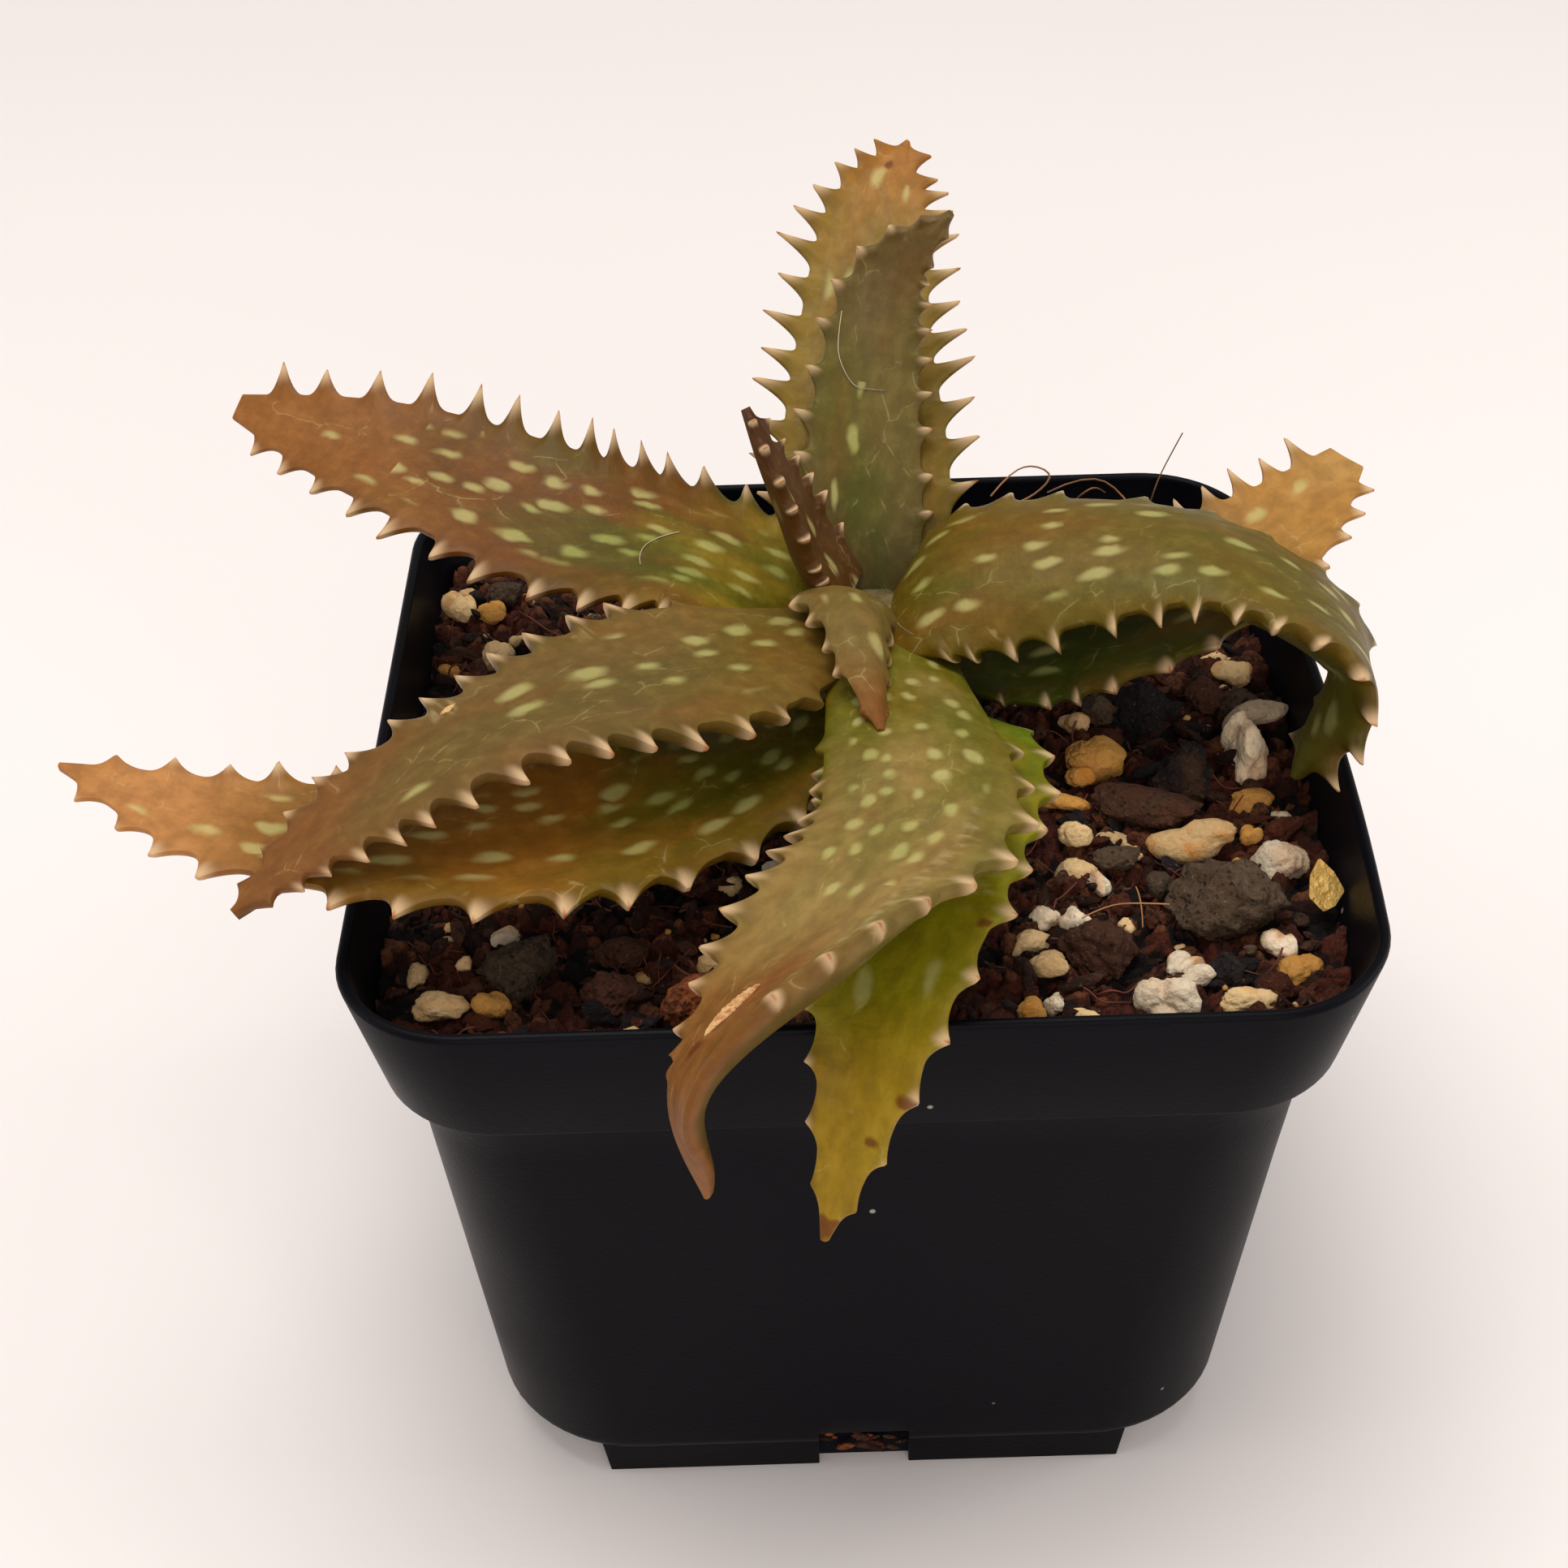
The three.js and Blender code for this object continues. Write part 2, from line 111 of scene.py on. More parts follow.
def finishPiece(piece, name, material, replaced=(), smoothAngle=None):
    makeActive(piece)
    bpy.ops.object.transform_apply(location=True, rotation=True, scale=True)
    if smoothAngle is None:
        bpy.ops.object.shade_smooth()
    else:
        bpy.ops.object.shade_smooth_by_angle(angle=math.radians(smoothAngle))
    piece.name = name
    piece.data.name = name
    piece.data.materials.clear()
    piece.data.materials.append(material)
    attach(piece, "root")
    if replaced:
        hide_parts(*replaced)
    return piece


def joinPieces(pieces, name, material, smoothAngle=None):
    clearSelection()
    for piece in pieces:
        piece.select_set(True)
    bpy.context.view_layer.objects.active = pieces[0]
    bpy.ops.object.join()
    return finishPiece(bpy.context.object, name, material, (), smoothAngle)


def addAttribute(mesh, name, values):     # three values a point, for the materials to read
    attribute = mesh.attributes.new(name, "FLOAT_VECTOR", "POINT")
    attribute.data.foreach_set("vector", np.asarray(values, dtype=float).ravel())


# Small helpers for building materials

def paint(red, green, blue):              # a screen colour, 0 to 255, as Blender's linear one
    def linear(c):
        c /= 255
        return c / 12.92 if c <= 0.04045 else ((c + 0.055) / 1.055) ** 2.4
    return (linear(red), linear(green), linear(blue), 1)


def addNode(tree, kind, inputs=None, **settings):
    made = tree.nodes.new(kind)
    for key, value in settings.items():   # these come first: a node's sockets follow its settings
        setattr(made, key, value)
    for key, value in (inputs or {}).items():
        setInput(tree, made.inputs[key], value)
    return made


def setInput(tree, socket, value):
    if isinstance(value, bpy.types.NodeSocket):
        tree.links.new(value, socket)
    else:
        socket.default_value = value


def calc(tree, operation, first, second):
    return addNode(tree, "ShaderNodeMath", {0: first, 1: second}, operation=operation).outputs[0]


def plus(tree, first, second):
    return calc(tree, "ADD", first, second)


def times(tree, first, second):
    return calc(tree, "MULTIPLY", first, second)


def rise(tree, value, low, high, bottom=0.0, top=1.0):       # a soft step from low to high
    given = {"Value": value, "From Min": low, "From Max": high, "To Min": bottom, "To Max": top}
    return addNode(tree, "ShaderNodeMapRange", given, interpolation_type="SMOOTHSTEP").outputs["Result"]


def mixColour(tree, factor, first, second):
    made = addNode(tree, "ShaderNodeMix", data_type="RGBA")
    for socket, value in ((0, factor), (6, first), (7, second)):       # the sockets of a mix of colours
        setInput(tree, made.inputs[socket], value)
    return made.outputs[2]


def noiseOf(tree, vector, scale, detail=3.0, roughness=0.5):
    given = {"Vector": vector, "Scale": scale, "Detail": detail, "Roughness": roughness}
    return addNode(tree, "ShaderNodeTexNoise", given).outputs["Fac"]


def objectCoords(tree):
    return addNode(tree, "ShaderNodeTexCoord").outputs["Object"]


def axesOf(tree, vector):
    return addNode(tree, "ShaderNodeSeparateXYZ", {"Vector": vector}).outputs


def ownValues(tree, name):                # the three values that a piece keeps at each point
    vector = addNode(tree, "ShaderNodeAttribute", attribute_name=name).outputs["Vector"]
    return vector, axesOf(tree, vector)


def stretched(tree, vector, scale, location=(0, 0, 0)):
    made = addNode(tree, "ShaderNodeMapping", {"Vector": vector, "Scale": scale, "Location": location})
    return made.outputs["Vector"]


def newGroup(name, inputs, outputs):
    group = bpy.data.node_groups.new(name, "ShaderNodeTree")
    kinds = {"colour": "NodeSocketColor", "value": "NodeSocketFloat"}
    for label, kind, default in inputs:
        socket = group.interface.new_socket(name=label, in_out="INPUT", socket_type=kinds[kind])
        socket.default_value = default
    for label, kind in outputs:
        group.interface.new_socket(name=label, in_out="OUTPUT", socket_type=kinds[kind])
    return group, group.nodes.new("NodeGroupInput").outputs, group.nodes.new("NodeGroupOutput").inputs


def newMaterial(name):
    material = bpy.data.materials.new(name)
    material.use_nodes = True
    tree = material.node_tree
    shader = tree.nodes["Principled BSDF"]
    return material, tree, shader


def addGroup(tree, group, values):
    return addNode(tree, "ShaderNodeGroup", values, node_tree=group).outputs


def setShader(tree, shader, values):
    for key, value in values.items():
        setInput(tree, shader.inputs[key], value)


def addBump(tree, shader, height, distance, strength=1.0):
    bump = addNode(tree, "ShaderNodeBump", {"Height": height, "Distance": distance, "Strength": strength})
    tree.links.new(bump.outputs["Normal"], shader.inputs["Normal"])


# Camera, light and floor

viewLook = {
    "focalLength": 58.42, "sensorWidth": 36.0,
    "target": (-6.05, 0.0, 59.3), "distance": 250.05,
    "elevation": 36.65, "azimuth": -0.17, "roll": -1.61,
}


def makeCamera():
    camera = bpy.data.objects.new("viewCamera", bpy.data.cameras.new("viewCamera"))
    bpy.context.scene.collection.objects.link(camera)
    camera.data.sensor_width = viewLook["sensorWidth"]
    camera.data.lens = viewLook["focalLength"]
    camera.data.clip_start = 0.01
    elevation, azimuth, roll = (math.radians(viewLook[k]) for k in ("elevation", "azimuth", "roll"))
    back = Vector((math.sin(azimuth) * math.cos(elevation), -math.cos(azimuth) * math.cos(elevation),
                   math.sin(elevation)))
    right = Vector((0, 0, 1)).cross(back).normalized()
    up = back.cross(right)
    tiltedRight = right * math.cos(roll) + up * math.sin(roll)
    tiltedUp = up * math.cos(roll) - right * math.sin(roll)
    stand = place(*viewLook["target"]) + back * viewLook["distance"] * mm
    turn = Matrix((tiltedRight, tiltedUp, back)).transposed().to_4x4()
    camera.matrix_world = Matrix.Translation(stand) @ turn
    bpy.context.scene.camera = camera


lightLook = {
    "overhead": {"at": (-120, 130, 1350), "size": 900, "watts": 12.6, "colour": (1.0, 0.985, 0.965)},
    "leftSide": {"at": (-520, -60, 300), "size": 300, "watts": 0.5, "colour": (1.0, 0.99, 0.98)},
    "rightSide": {"at": (540, 20, 280), "size": 280, "watts": 0.8, "colour": (1.0, 0.99, 0.98)},
    "frontFill": {"at": (60, -760, 420), "size": 620, "watts": 2.5, "colour": (1.0, 0.93, 0.9)},
}
worldLook = {"colour": (1.0, 0.985, 0.965, 1), "strength": 0.42}


def makeLights():
    for name, look in lightLook.items():
        lamp = bpy.data.objects.new(name, bpy.data.lights.new(name, "AREA"))
        bpy.context.scene.collection.objects.link(lamp)
        lamp.data.size = look["size"] * mm
        lamp.data.energy = look["watts"]
        lamp.data.color = look["colour"]
        lamp.location = place(*look["at"])
        aim = place(0, 0, 50) - lamp.location
        lamp.rotation_euler = aim.to_track_quat("-Z", "Y").to_euler()
    world = bpy.data.worlds.new("softRoom")
    bpy.context.scene.world = world
    world.use_nodes = True
    background = world.node_tree.nodes["Background"]
    background.inputs["Color"].default_value = worldLook["colour"]
    background.inputs["Strength"].default_value = worldLook["strength"]
    bpy.context.scene.view_settings.view_transform = "Standard"


def makeFloor():
    clearSelection()
    bpy.ops.mesh.primitive_plane_add(size=4, location=(potMiddle.x, potMiddle.y, potMiddle.z))
    floor = bpy.context.object
    floor.name = "floorSheet"
    material, tree, shader = newMaterial("paleFloor")
    coords = objectCoords(tree)
    mottle = noiseOf(tree, coords, 9)
    tone = mixColour(tree, mottle, paint(233, 225, 222), paint(236, 228, 225))
    setShader(tree, shader, {"Base Color": tone, "Roughness": 0.75})
    floor.data.materials.append(material)


print("camera, light and floor")
makeCamera()
makeLights()
makeFloor()


# Pot

potLook = {
    "height": 67.5, "wall": 1.1, "cornerSegments": 14, "sideCuts": 15, "lipRadius": 0.55,
    "rim": (45.0, 11.4), "bandFoot": (42.7, 11.5), "shoulder": (40.4, 10.0), "bottom": (36.8, 14.4),
    "bandHeight": 13.5, "cornerClearance": 4.2, "floorTop": 5.3, "heel": 1.6,
    "footHalfLength": 25.5, "footFlare": 0.8, "footFace": 35.4, "footDepth": 2.6,
    "notchWidth": 9.0, "notchHeight": 6.4, "notchDepth": 1.2, "edge": 0.22,
    "wallRings": (0.06, 0.12, 0.3, 0.5, 0.7, 0.88),
}


def insetShape(shape, by):
    return (shape[0] - by, shape[1] - by)


def arcShapes(shape, z, inward, upward, steps):              # rings round a rolled edge
    rings = []
    for step in range(steps + 1):
        angle = math.radians(90 * step / steps)
        rings.append((insetShape(shape, inward * (1 - math.cos(angle))), z + upward * math.sin(angle)))
    return rings


def potRings():
    look = potLook
    bandZ = look["height"] - look["bandHeight"]
    lip, heel, wall = look["lipRadius"], look["heel"], look["wall"]
    clearance, edge = look["cornerClearance"], look["edge"]
    rings = arcShapes(look["bottom"], clearance + heel, heel, -heel, 5)[::-1]
    wallFoot = rings[-1][1]
    for share in look["wallRings"]:       # between the foot and the shoulder
        shape = [low + (high - low) * share for low, high in zip(look["bottom"], look["shoulder"])]
        rings.append((shape, wallFoot + (bandZ - wallFoot) * share))
    rings.append((look["shoulder"], bandZ - edge))
    rings.append((insetShape(look["bandFoot"], 0.5), bandZ))
    rings += arcShapes(look["bandFoot"], bandZ + 0.5, 0.5, -0.5, 3)[::-1][1:]
    rings += arcShapes(look["rim"], look["height"] - lip, lip, lip, 5)
    rings += arcShapes(insetShape(look["rim"], wall), look["height"] - lip, -lip * 0.9, lip, 4)[::-1]
    rings.append((insetShape(look["bandFoot"], wall), bandZ + wall + 0.4))
    rings.append((insetShape(look["bandFoot"], wall + 0.6), bandZ + wall - 0.2))
    rings.append((insetShape(look["shoulder"], wall), bandZ - wall))
    rings.append((insetShape(look["bottom"], wall), look["floorTop"] + 1))
    rings.append((insetShape(look["bottom"], wall + 1), look["floorTop"]))
    return rings


def fitRing(verts, old, new, z):          # the points of one rounded square moved onto another
    oldTurn, newTurn = old[0] - old[1], new[0] - new[1]

    def moved(value):
        over = abs(value) - oldTurn
        if over <= 0:
            return value * newTurn / oldTurn
        return math.copysign(newTurn + over * new[1] / old[1], value)

    for vert in verts:
        vert.co = Vector((moved(vert.co.x), moved(vert.co.y), z))


def cutterBox(low, high, turn):
    clearSelection()
    bpy.ops.mesh.primitive_cube_add(size=1)
    box = bpy.context.object
    size = Vector(high) - Vector(low)
    middle = (Vector(high) + Vector(low)) / 2
    for vert in box.data.vertices:
        vert.co = Matrix.Rotation(turn, 3, "Z") @ Vector([vert.co[i] * size[i] + middle[i] for i in range(3)])
    return box


def joinBySolid(piece, other, operation):
    makeActive(piece)
    solid = piece.modifiers.new("solid", "BOOLEAN")
    solid.object = other
    solid.operation = operation
    solid.solver = "EXACT"
    bpy.ops.object.modifier_apply(modifier=solid.name)
    removePiece(other)


def makePot(material):
    look = potLook
    rings = potRings()
    first, firstZ = rings[0]
    clearSelection()
    bpy.ops.mesh.primitive_plane_add(size=2 * first[0])
    pot = bpy.context.object
    bpy.ops.object.mode_set(mode="EDIT")
    bpy.ops.mesh.select_all(action="SELECT")
    bpy.ops.mesh.bevel(offset=first[1], segments=look["cornerSegments"], affect="VERTICES")
    shell = bmesh.from_edit_mesh(pot.data)
    longest = max(edge.calc_length() for edge in shell.edges)
    for edge in shell.edges:
        edge.select = edge.calc_length() > longest * 0.9
    bpy.ops.mesh.subdivide(number_cuts=look["sideCuts"])
    bpy.ops.mesh.select_all(action="SELECT")
    shell = bmesh.from_edit_mesh(pot.data)
    fitRing(shell.verts, first, first, firstZ)
    previous = first
    for shape, z in rings[1:]:
        bpy.ops.mesh.extrude_region_move(TRANSFORM_OT_translate={"value": (0, 0, 0.1)})
        shell = bmesh.from_edit_mesh(pot.data)
        fitRing([v for v in shell.verts if v.select], previous, shape, z)
        bmesh.update_edit_mesh(pot.data)
        previous = shape
    closeMesh()
    footTop = look["cornerClearance"] + 0.6
    face, depth, half = look["footFace"], look["footDepth"], look["footHalfLength"]
    for side in range(4):
        turn = side * math.pi / 2
        foot = cutterBox((-half, -face, 0), (half, depth - face, footTop), 0)
        for vert in foot.data.vertices:   # a little wider at the top
            if vert.co.z > footTop / 2:
                vert.co.x += math.copysign(look["footFlare"], vert.co.x)
            vert.co = Matrix.Rotation(turn, 3, "Z") @ vert.co
        joinBySolid(pot, foot, "UNION")
    for side in range(4):
        half = look["notchWidth"] / 2
        notch = cutterBox((-half, -face - 4, -2), (half, look["notchDepth"] - face, look["notchHeight"]),
                          side * math.pi / 2)
        joinBySolid(pot, notch, "DIFFERENCE")
    makeActive(pot)
    soften = pot.modifiers.new("soften", "BEVEL")
    soften.width = look["edge"]
    soften.segments = 2
    soften.limit_method = "ANGLE"
    soften.angle_limit = math.radians(50)
    bpy.ops.object.modifier_apply(modifier=soften.name)
    placePoints(pot.data, bowSide(pointsOf(pot.data)))
    return finishPiece(pot, "potShell", material, ["pot"], 35)


def plasticMaterial():
    material, tree, shader = newMaterial("blackNurseryPlastic")
    coords = objectCoords(tree)
    cloud = noiseOf(tree, coords, 38, 4)
    grain = noiseOf(tree, coords, 2600, 2)
    specks = addNode(tree, "ShaderNodeTexVoronoi", {"Vector": coords, "Scale": 420})
    chance = addNode(tree, "ShaderNodeSeparateColor", {"Color": specks.outputs["Color"]}).outputs["Red"]
    rare = calc(tree, "GREATER_THAN", chance, 0.985)
    dust = times(tree, rare, rise(tree, specks.outputs["Distance"], 0.16, 0.1))
    tone = mixColour(tree, cloud, paint(3, 3, 8), paint(6, 5, 11))
    tone = mixColour(tree, times(tree, dust, 0.6), tone, paint(190, 180, 170))
    setShader(tree, shader, {"Base Color": tone, "Roughness": rise(tree, cloud, 0.25, 0.75, 0.36, 0.5),
                             "Specular IOR Level": 0.07, "Sheen Weight": 0.025, "Sheen Roughness": 0.35,
                             "Sheen Tint": (0.75, 0.6, 0.52, 1)})
    addBump(tree, shader, grain, 0.00006, 0.5)
    return material


print("pot")
makePot(plasticMaterial())


# Leaves

bladeMesh = {
    "along": 310, "across": 28, "crowding": 1.5, "marginThickness": 0.36, "baseThickness": 4.4,
    "tipThickness": 1.0, "thinning": 1.8, "upperShare": 0.25, "bumpHeight": 0.36, "bumpWidth": 0.14,
    "toothZone": 0.76, "firstTooth": 0.12, "toothed": 0.86, "toothJitter": 0.22, "toothLobe": 0.12,
    "toothBack": 0.6, "toothFront": 0.4, "toothHollow": 2.7, "firstSize": 0.5, "fullAt": (0.1, 0.35),
    "dwindleFrom": 0.6, "toothHeights": (0.85, 0.3), "palePoint": (0.3, 0.75), "glowWidth": 1.6,
}

# under is the underside's colour: its own greener tint, made darker as painted shade
usualLeaf = {
    "waist": 0.7, "thick": 1, "lean": (0.32, 0.32), "droop": (0.0, 0.0), "spotEnd": 0.9, "spotLength": 6.4,
    "spotWidth": 2.9, "baseEnd": 0.4, "tipStart": 0.55, "under": (56, 58, 10),
}

# Midrib, half-widths, roll and cupping at five points, as in the solids; pairs are for the left and the
# right margin, seen from the stem; and each leaf's own colours
leaves = [
    {"node": "leaf_young_front",
     "midrib": [(2, 8, 71), (0.9, 5.5, 77.1), (1.2, -1.5, 79.6), (1.7, -9.5, 79.3), (2.5, -19, 78.8)],
     "halfWidth": (4.6, 5.3, 3.5, 2.3, 0.3), "roll": (0, 2, 1, 0, 0), "cup": (-15, -28, -45, -45, -30),
     "teeth": (6, 6), "tooth": (1.3, 1.3), "waist": 1, "thick": 0.8,
     "dwindle": (0.6, 0.6), "spotEnd": 1.0,
     "base": (138, 107, 59), "middle": (118, 96, 46), "tip": (119, 73, 27), "green": 0.1, "spots": 0.6},
    {"node": "leaf_young_back",
     "midrib": [(0.5, 9, 75), (-2.5, 9.5, 80), (-4.5, 8.5, 86), (-6.5, 8.5, 91), (-8.5, 11, 95)],
     "halfWidth": (4.4, 4.2, 3, 1.8, 0.3), "roll": (0, -3, -1, 0, 0), "cup": (35, 35, 35, 35, 30),
     "teeth": (7, 6), "tooth": (0.9, 1.7), "waist": 1, "thick": 0.6,
     "dwindle": (0.3, 0.3), "spotEnd": 1.0,
     "base": (88, 55, 17), "middle": (82, 51, 15), "tip": (74, 40, 13), "green": 0.0, "spots": 0.5,
     "spotLength": 4.6, "spotWidth": 2.2, "under": (78, 50, 22)},
    {"node": "leaf_back_inner",
     "midrib": [(2.8, 9.5, 69), (2.5, 17.5, 79.5), (3.5, 26, 89.5), (6, 30, 99), (11.5, 28, 106)],
     "halfWidth": (4.8, 6, 5, 3.3, 0.3), "roll": (10, 8, 0, -4, -4), "cup": (25, 25, 25, 25, 25),
     "teeth": (10, 11), "tooth": (2.1, 1.5), "waist": 1, "thick": 0.9,
     "dwindle": (0.6, 0.6), "spotEnd": 0.55,
     "spotLength": 6.0, "spotWidth": 2.2,
     "base": (58, 50, 6), "middle": (108, 92, 42), "tip": (116, 94, 54), "green": 0.45, "spots": 0.4},
    {"node": "leaf_left_middle",
     "midrib": [(0.5, 4.5, 73.5), (-16, -12.5, 81), (-30, -22.5, 83), (-43, -29.5, 79), (-52.5, -35.5, 74)],
     "halfWidth": (7, 9.3, 6.8, 4.3, 0.3), "roll": (-10, -6, 4, 0, 0), "cup": (10, 10, 10, 10, 10),
     "teeth": (15, 13), "tooth": (2.7, 2.6), "dwindle": (0.5, 0.5), "spotEnd": 0.75,
     "lean": (-0.4, 0.35), "droop": (0.4, 0.0), "spotWidth": 3.4,
     "base": (116, 88, 32), "middle": (108, 82, 36), "tip": (122, 76, 33), "green": 0.22, "spots": 0.55},
    {"node": "leaf_right_arching",
     "midrib": [(4.5, 5.5, 73), (13, 4.5, 80.5), (33.5, 1, 84), (46.5, -8, 78), (42, -11, 66.5)],
     "halfWidth": (8, 9, 8, 7.2, 0.3), "roll": (-4, 17, -3, -32, -90), "cup": (0, -15, -15, 10, 20),
     "teeth": (13, 14), "tooth": (1.9, 1.8), "waist": 0.8, "thick": 1.6,
     "dwindle": (-0.8, -0.8), "spotEnd": 1.2,
     "droop": (0.0, 0.3), "spotLength": 5.6, "spotWidth": 2.6,
     "base": (112, 76, 12), "middle": (104, 84, 20), "tip": (84, 72, 16), "green": 0.5, "spots": 0.85},
    {"node": "leaf_front_upper",
     "midrib": [(4.5, 0.5, 74), (5, -30, 79.5), (-3.4, -46.2, 78.6), (-14.2, -58.6, 75), (-13.3, -56, 60)],
     "halfWidth": (8, 8.3, 8.1, 3.9, 0.3), "roll": (-6, 4, 24, 40, -22), "cup": (-10, -10, 27, 10, 8),
     "teeth": (14, 15), "tooth": (2.8, 2.2), "waist": 0.8, "dwindle": (3.4, 1.7), "spotEnd": 0.42,
     "spotLength": 4.0, "spotWidth": 2.8, "tipStart": 0.4,
     "base": (104, 96, 14), "middle": (148, 120, 64), "tip": (130, 80, 32), "green": 0.38, "spots": 0.85},
    {"node": "leaf_left_back",
     "midrib": [(0, 9.5, 71), (-13.5, 11.5, 78), (-27, 14, 81.3), (-43, 22, 84.3), (-60.5, 32, 85.5)],
     "halfWidth": (9, 9.5, 8.8, 6.8, 1.4), "roll": (-22, -4, -16, -20, -45), "cup": (15, 15, 15, 15, 15),
     "teeth": (13, 14), "tooth": (2.7, 4.1), "dwindle": (0.25, 0.25), "spotEnd": 0.75,
     "droop": (0.3, 0.0), "spotLength": 5.6, "spotWidth": 2.6,
     "base": (138, 118, 26), "middle": (103, 62, 13), "tip": (141, 88, 37), "green": 0.7, "spots": 1.0},
    {"node": "leaf_right_back",
     "midrib": [(8, 7.5, 68.5), (20.5, 6, 73), (31.5, 5, 76.5), (42, 11, 79.5), (51, 21.5, 81.5)],
     "halfWidth": (9, 10.3, 9, 6, 2), "roll": (-2, 18, 12, 20, 28), "cup": (15, 15, 15, 15, 15),
     "teeth": (12, 12), "tooth": (2.7, 1.5), "thick": 0.8, "dwindle": (-0.1, -0.1), "spotEnd": 1.0,
     "baseEnd": 0.72, "tipStart": 0.8,
     "base": (56, 62, 10), "middle": (168, 119, 53), "tip": (178, 136, 76), "green": 0.5, "spots": 0.22},
    {"node": "leaf_left_low",
     "midrib": [(-3, 1.5, 68), (-14.5, -18, 71.5), (-31, -27.5, 74), (-52, -25.5, 75), (-70.5, -16.5, 76)],
     "halfWidth": (7.8, 8.5, 7.8, 5.3, 0.3), "roll": (16, -11, -12, -15, -34), "cup": (15, 15, 15, 15, 15),
     "teeth": (14, 13), "tooth": (2.6, 2.5), "waist": 0.8, "dwindle": (0.5, 0.5), "spotEnd": 0.95,
     "droop": (0.25, 0.0), "spotLength": 6.0, "spotWidth": 2.7,
     "base": (100, 84, 12), "middle": (134, 86, 20), "tip": (180, 122, 66), "green": 0.6, "spots": 0.8},
    {"node": "leaf_front_low",
     "midrib": [(5.5, 0.5, 67.5), (7.5, -17, 73), (4.5, -34.5, 74), (0, -50.5, 69), (-4, -57.5, 56)],
     "halfWidth": (8.5, 9.6, 8.2, 4.8, 0.3), "roll": (-4, 0, 5, 16, 0), "cup": (5, 5, 5, 5, 5),
     "teeth": (11, 10), "tooth": (1.7, 1.7), "dwindle": (0.6, 0.6),
     "base": (104, 130, 12), "middle": (144, 136, 16), "tip": (156, 124, 24), "green": 0.62, "spots": 0.25},
    {"node": "leaf_back_outer",
     "midrib": [(3, 11.5, 68), (3, 21.5, 81), (3.5, 34, 90), (5.5, 46.5, 98), (9, 54.5, 102.5)],
     "halfWidth": (8, 8.5, 6.8, 5, 0.3), "roll": (-6, -5, -2, 0, 1), "cup": (15, 15, 15, 15, 15),
     "teeth": (14, 13), "tooth": (3.8, 3.9), "thick": 0.9, "dwindle": (0.5, 0.5),
     "base": (100, 82, 20), "middle": (134, 107, 37), "tip": (158, 104, 38), "green": 0.4, "spots": 0.5},
]
leaves = [{**usualLeaf, **leaf} for leaf in leaves]
leafOf = {leaf["node"]: leaf for leaf in leaves}

# Old wounds on single leaves: kind, share of the length, place across, half length and half width in mm
leafMarks = {
    "leaf_front_upper": [
        ("bruise", 0.71, -0.07, 1.2, 0.7), ("bruise", 0.645, 0.0, 3.4, 1.1),
        ("crust", 0.5, 0.8, 9.0, 0.9), ("crust", 0.36, 0.7, 7.0, 0.7),
    ],
    "leaf_front_low": [
        ("bruise", 0.57, 0.95, 0.6, 0.6), ("bruise", 0.79, 0.96, 0.6, 0.5), ("bruise", 0.85, 0.72, 0.5, 0.5),
        ("bruise", 0.985, 0.0, 1.6, 1.4), ("crust", 0.5, 0.75, 3.0, 1.2),
    ],
    "leaf_left_middle": [("crust", 0.55, -0.8, 1.6, 0.9), ("crust", 0.3, -0.85, 1.2, 0.8)],
    "leaf_back_outer": [("bruise", 0.9, 0.3, 0.8, 0.4)],
}


def spline(values, t):                    # an even spline through the given points
    values = np.asarray(values, dtype=float)
    if values.ndim == 1:
        values = values[:, None]
    spans = len(values) - 1
    padded = np.concatenate([[2 * values[0] - values[1]], values, [2 * values[-1] - values[-2]]])
    index = np.minimum((t * spans).astype(int), spans - 1)
    w = (t * spans - index)[:, None]
    before, start, end, after = (padded[index + k] for k in range(4))
    leave, arrive = (end - before) / 2, (after - start) / 2
    return (start + leave * w + (3 * (end - start) - 2 * leave - arrive) * w ** 2
            + (2 * (start - end) + leave + arrive) * w ** 3)


def leafRail(leaf, t):                    # midrib points with their along, side and up directions
    middle = spline(leaf["midrib"], t)
    along = np.gradient(middle, axis=0)
    along /= np.linalg.norm(along, axis=1)[:, None]
    outward = np.subtract(leaf["midrib"][1], leaf["midrib"][0])
    side = np.array([-outward[1], outward[0], 0.0])
    sides = np.empty_like(along)
    for i, direction in enumerate(along):
        side = side - direction * (direction @ side)
        side /= np.linalg.norm(side)
        sides[i] = side
    ups = np.cross(along, sides)
    roll = np.radians(spline(leaf["roll"], t))
    rolled = sides * np.cos(roll) + ups * np.sin(roll)
    return {
        "middle": middle, "along": along, "side": rolled, "up": np.cross(along, rolled),
        "width": np.maximum(spline(leaf["halfWidth"], t)[:, 0], 0.3)
        * (leaf["waist"] + (1 - leaf["waist"]) * smoothStep(t / 0.2)),
        "cup": np.radians(spline(leaf["cup"], t)[:, 0]),
        "thick": (bladeMesh["baseThickness"] + (bladeMesh["tipThickness"] - bladeMesh["baseThickness"])
                  * t ** bladeMesh["thinning"]) * leaf["thick"],
        "reach": np.concatenate([[0], np.cumsum(np.linalg.norm(np.diff(middle, axis=0), axis=1))]),
    }


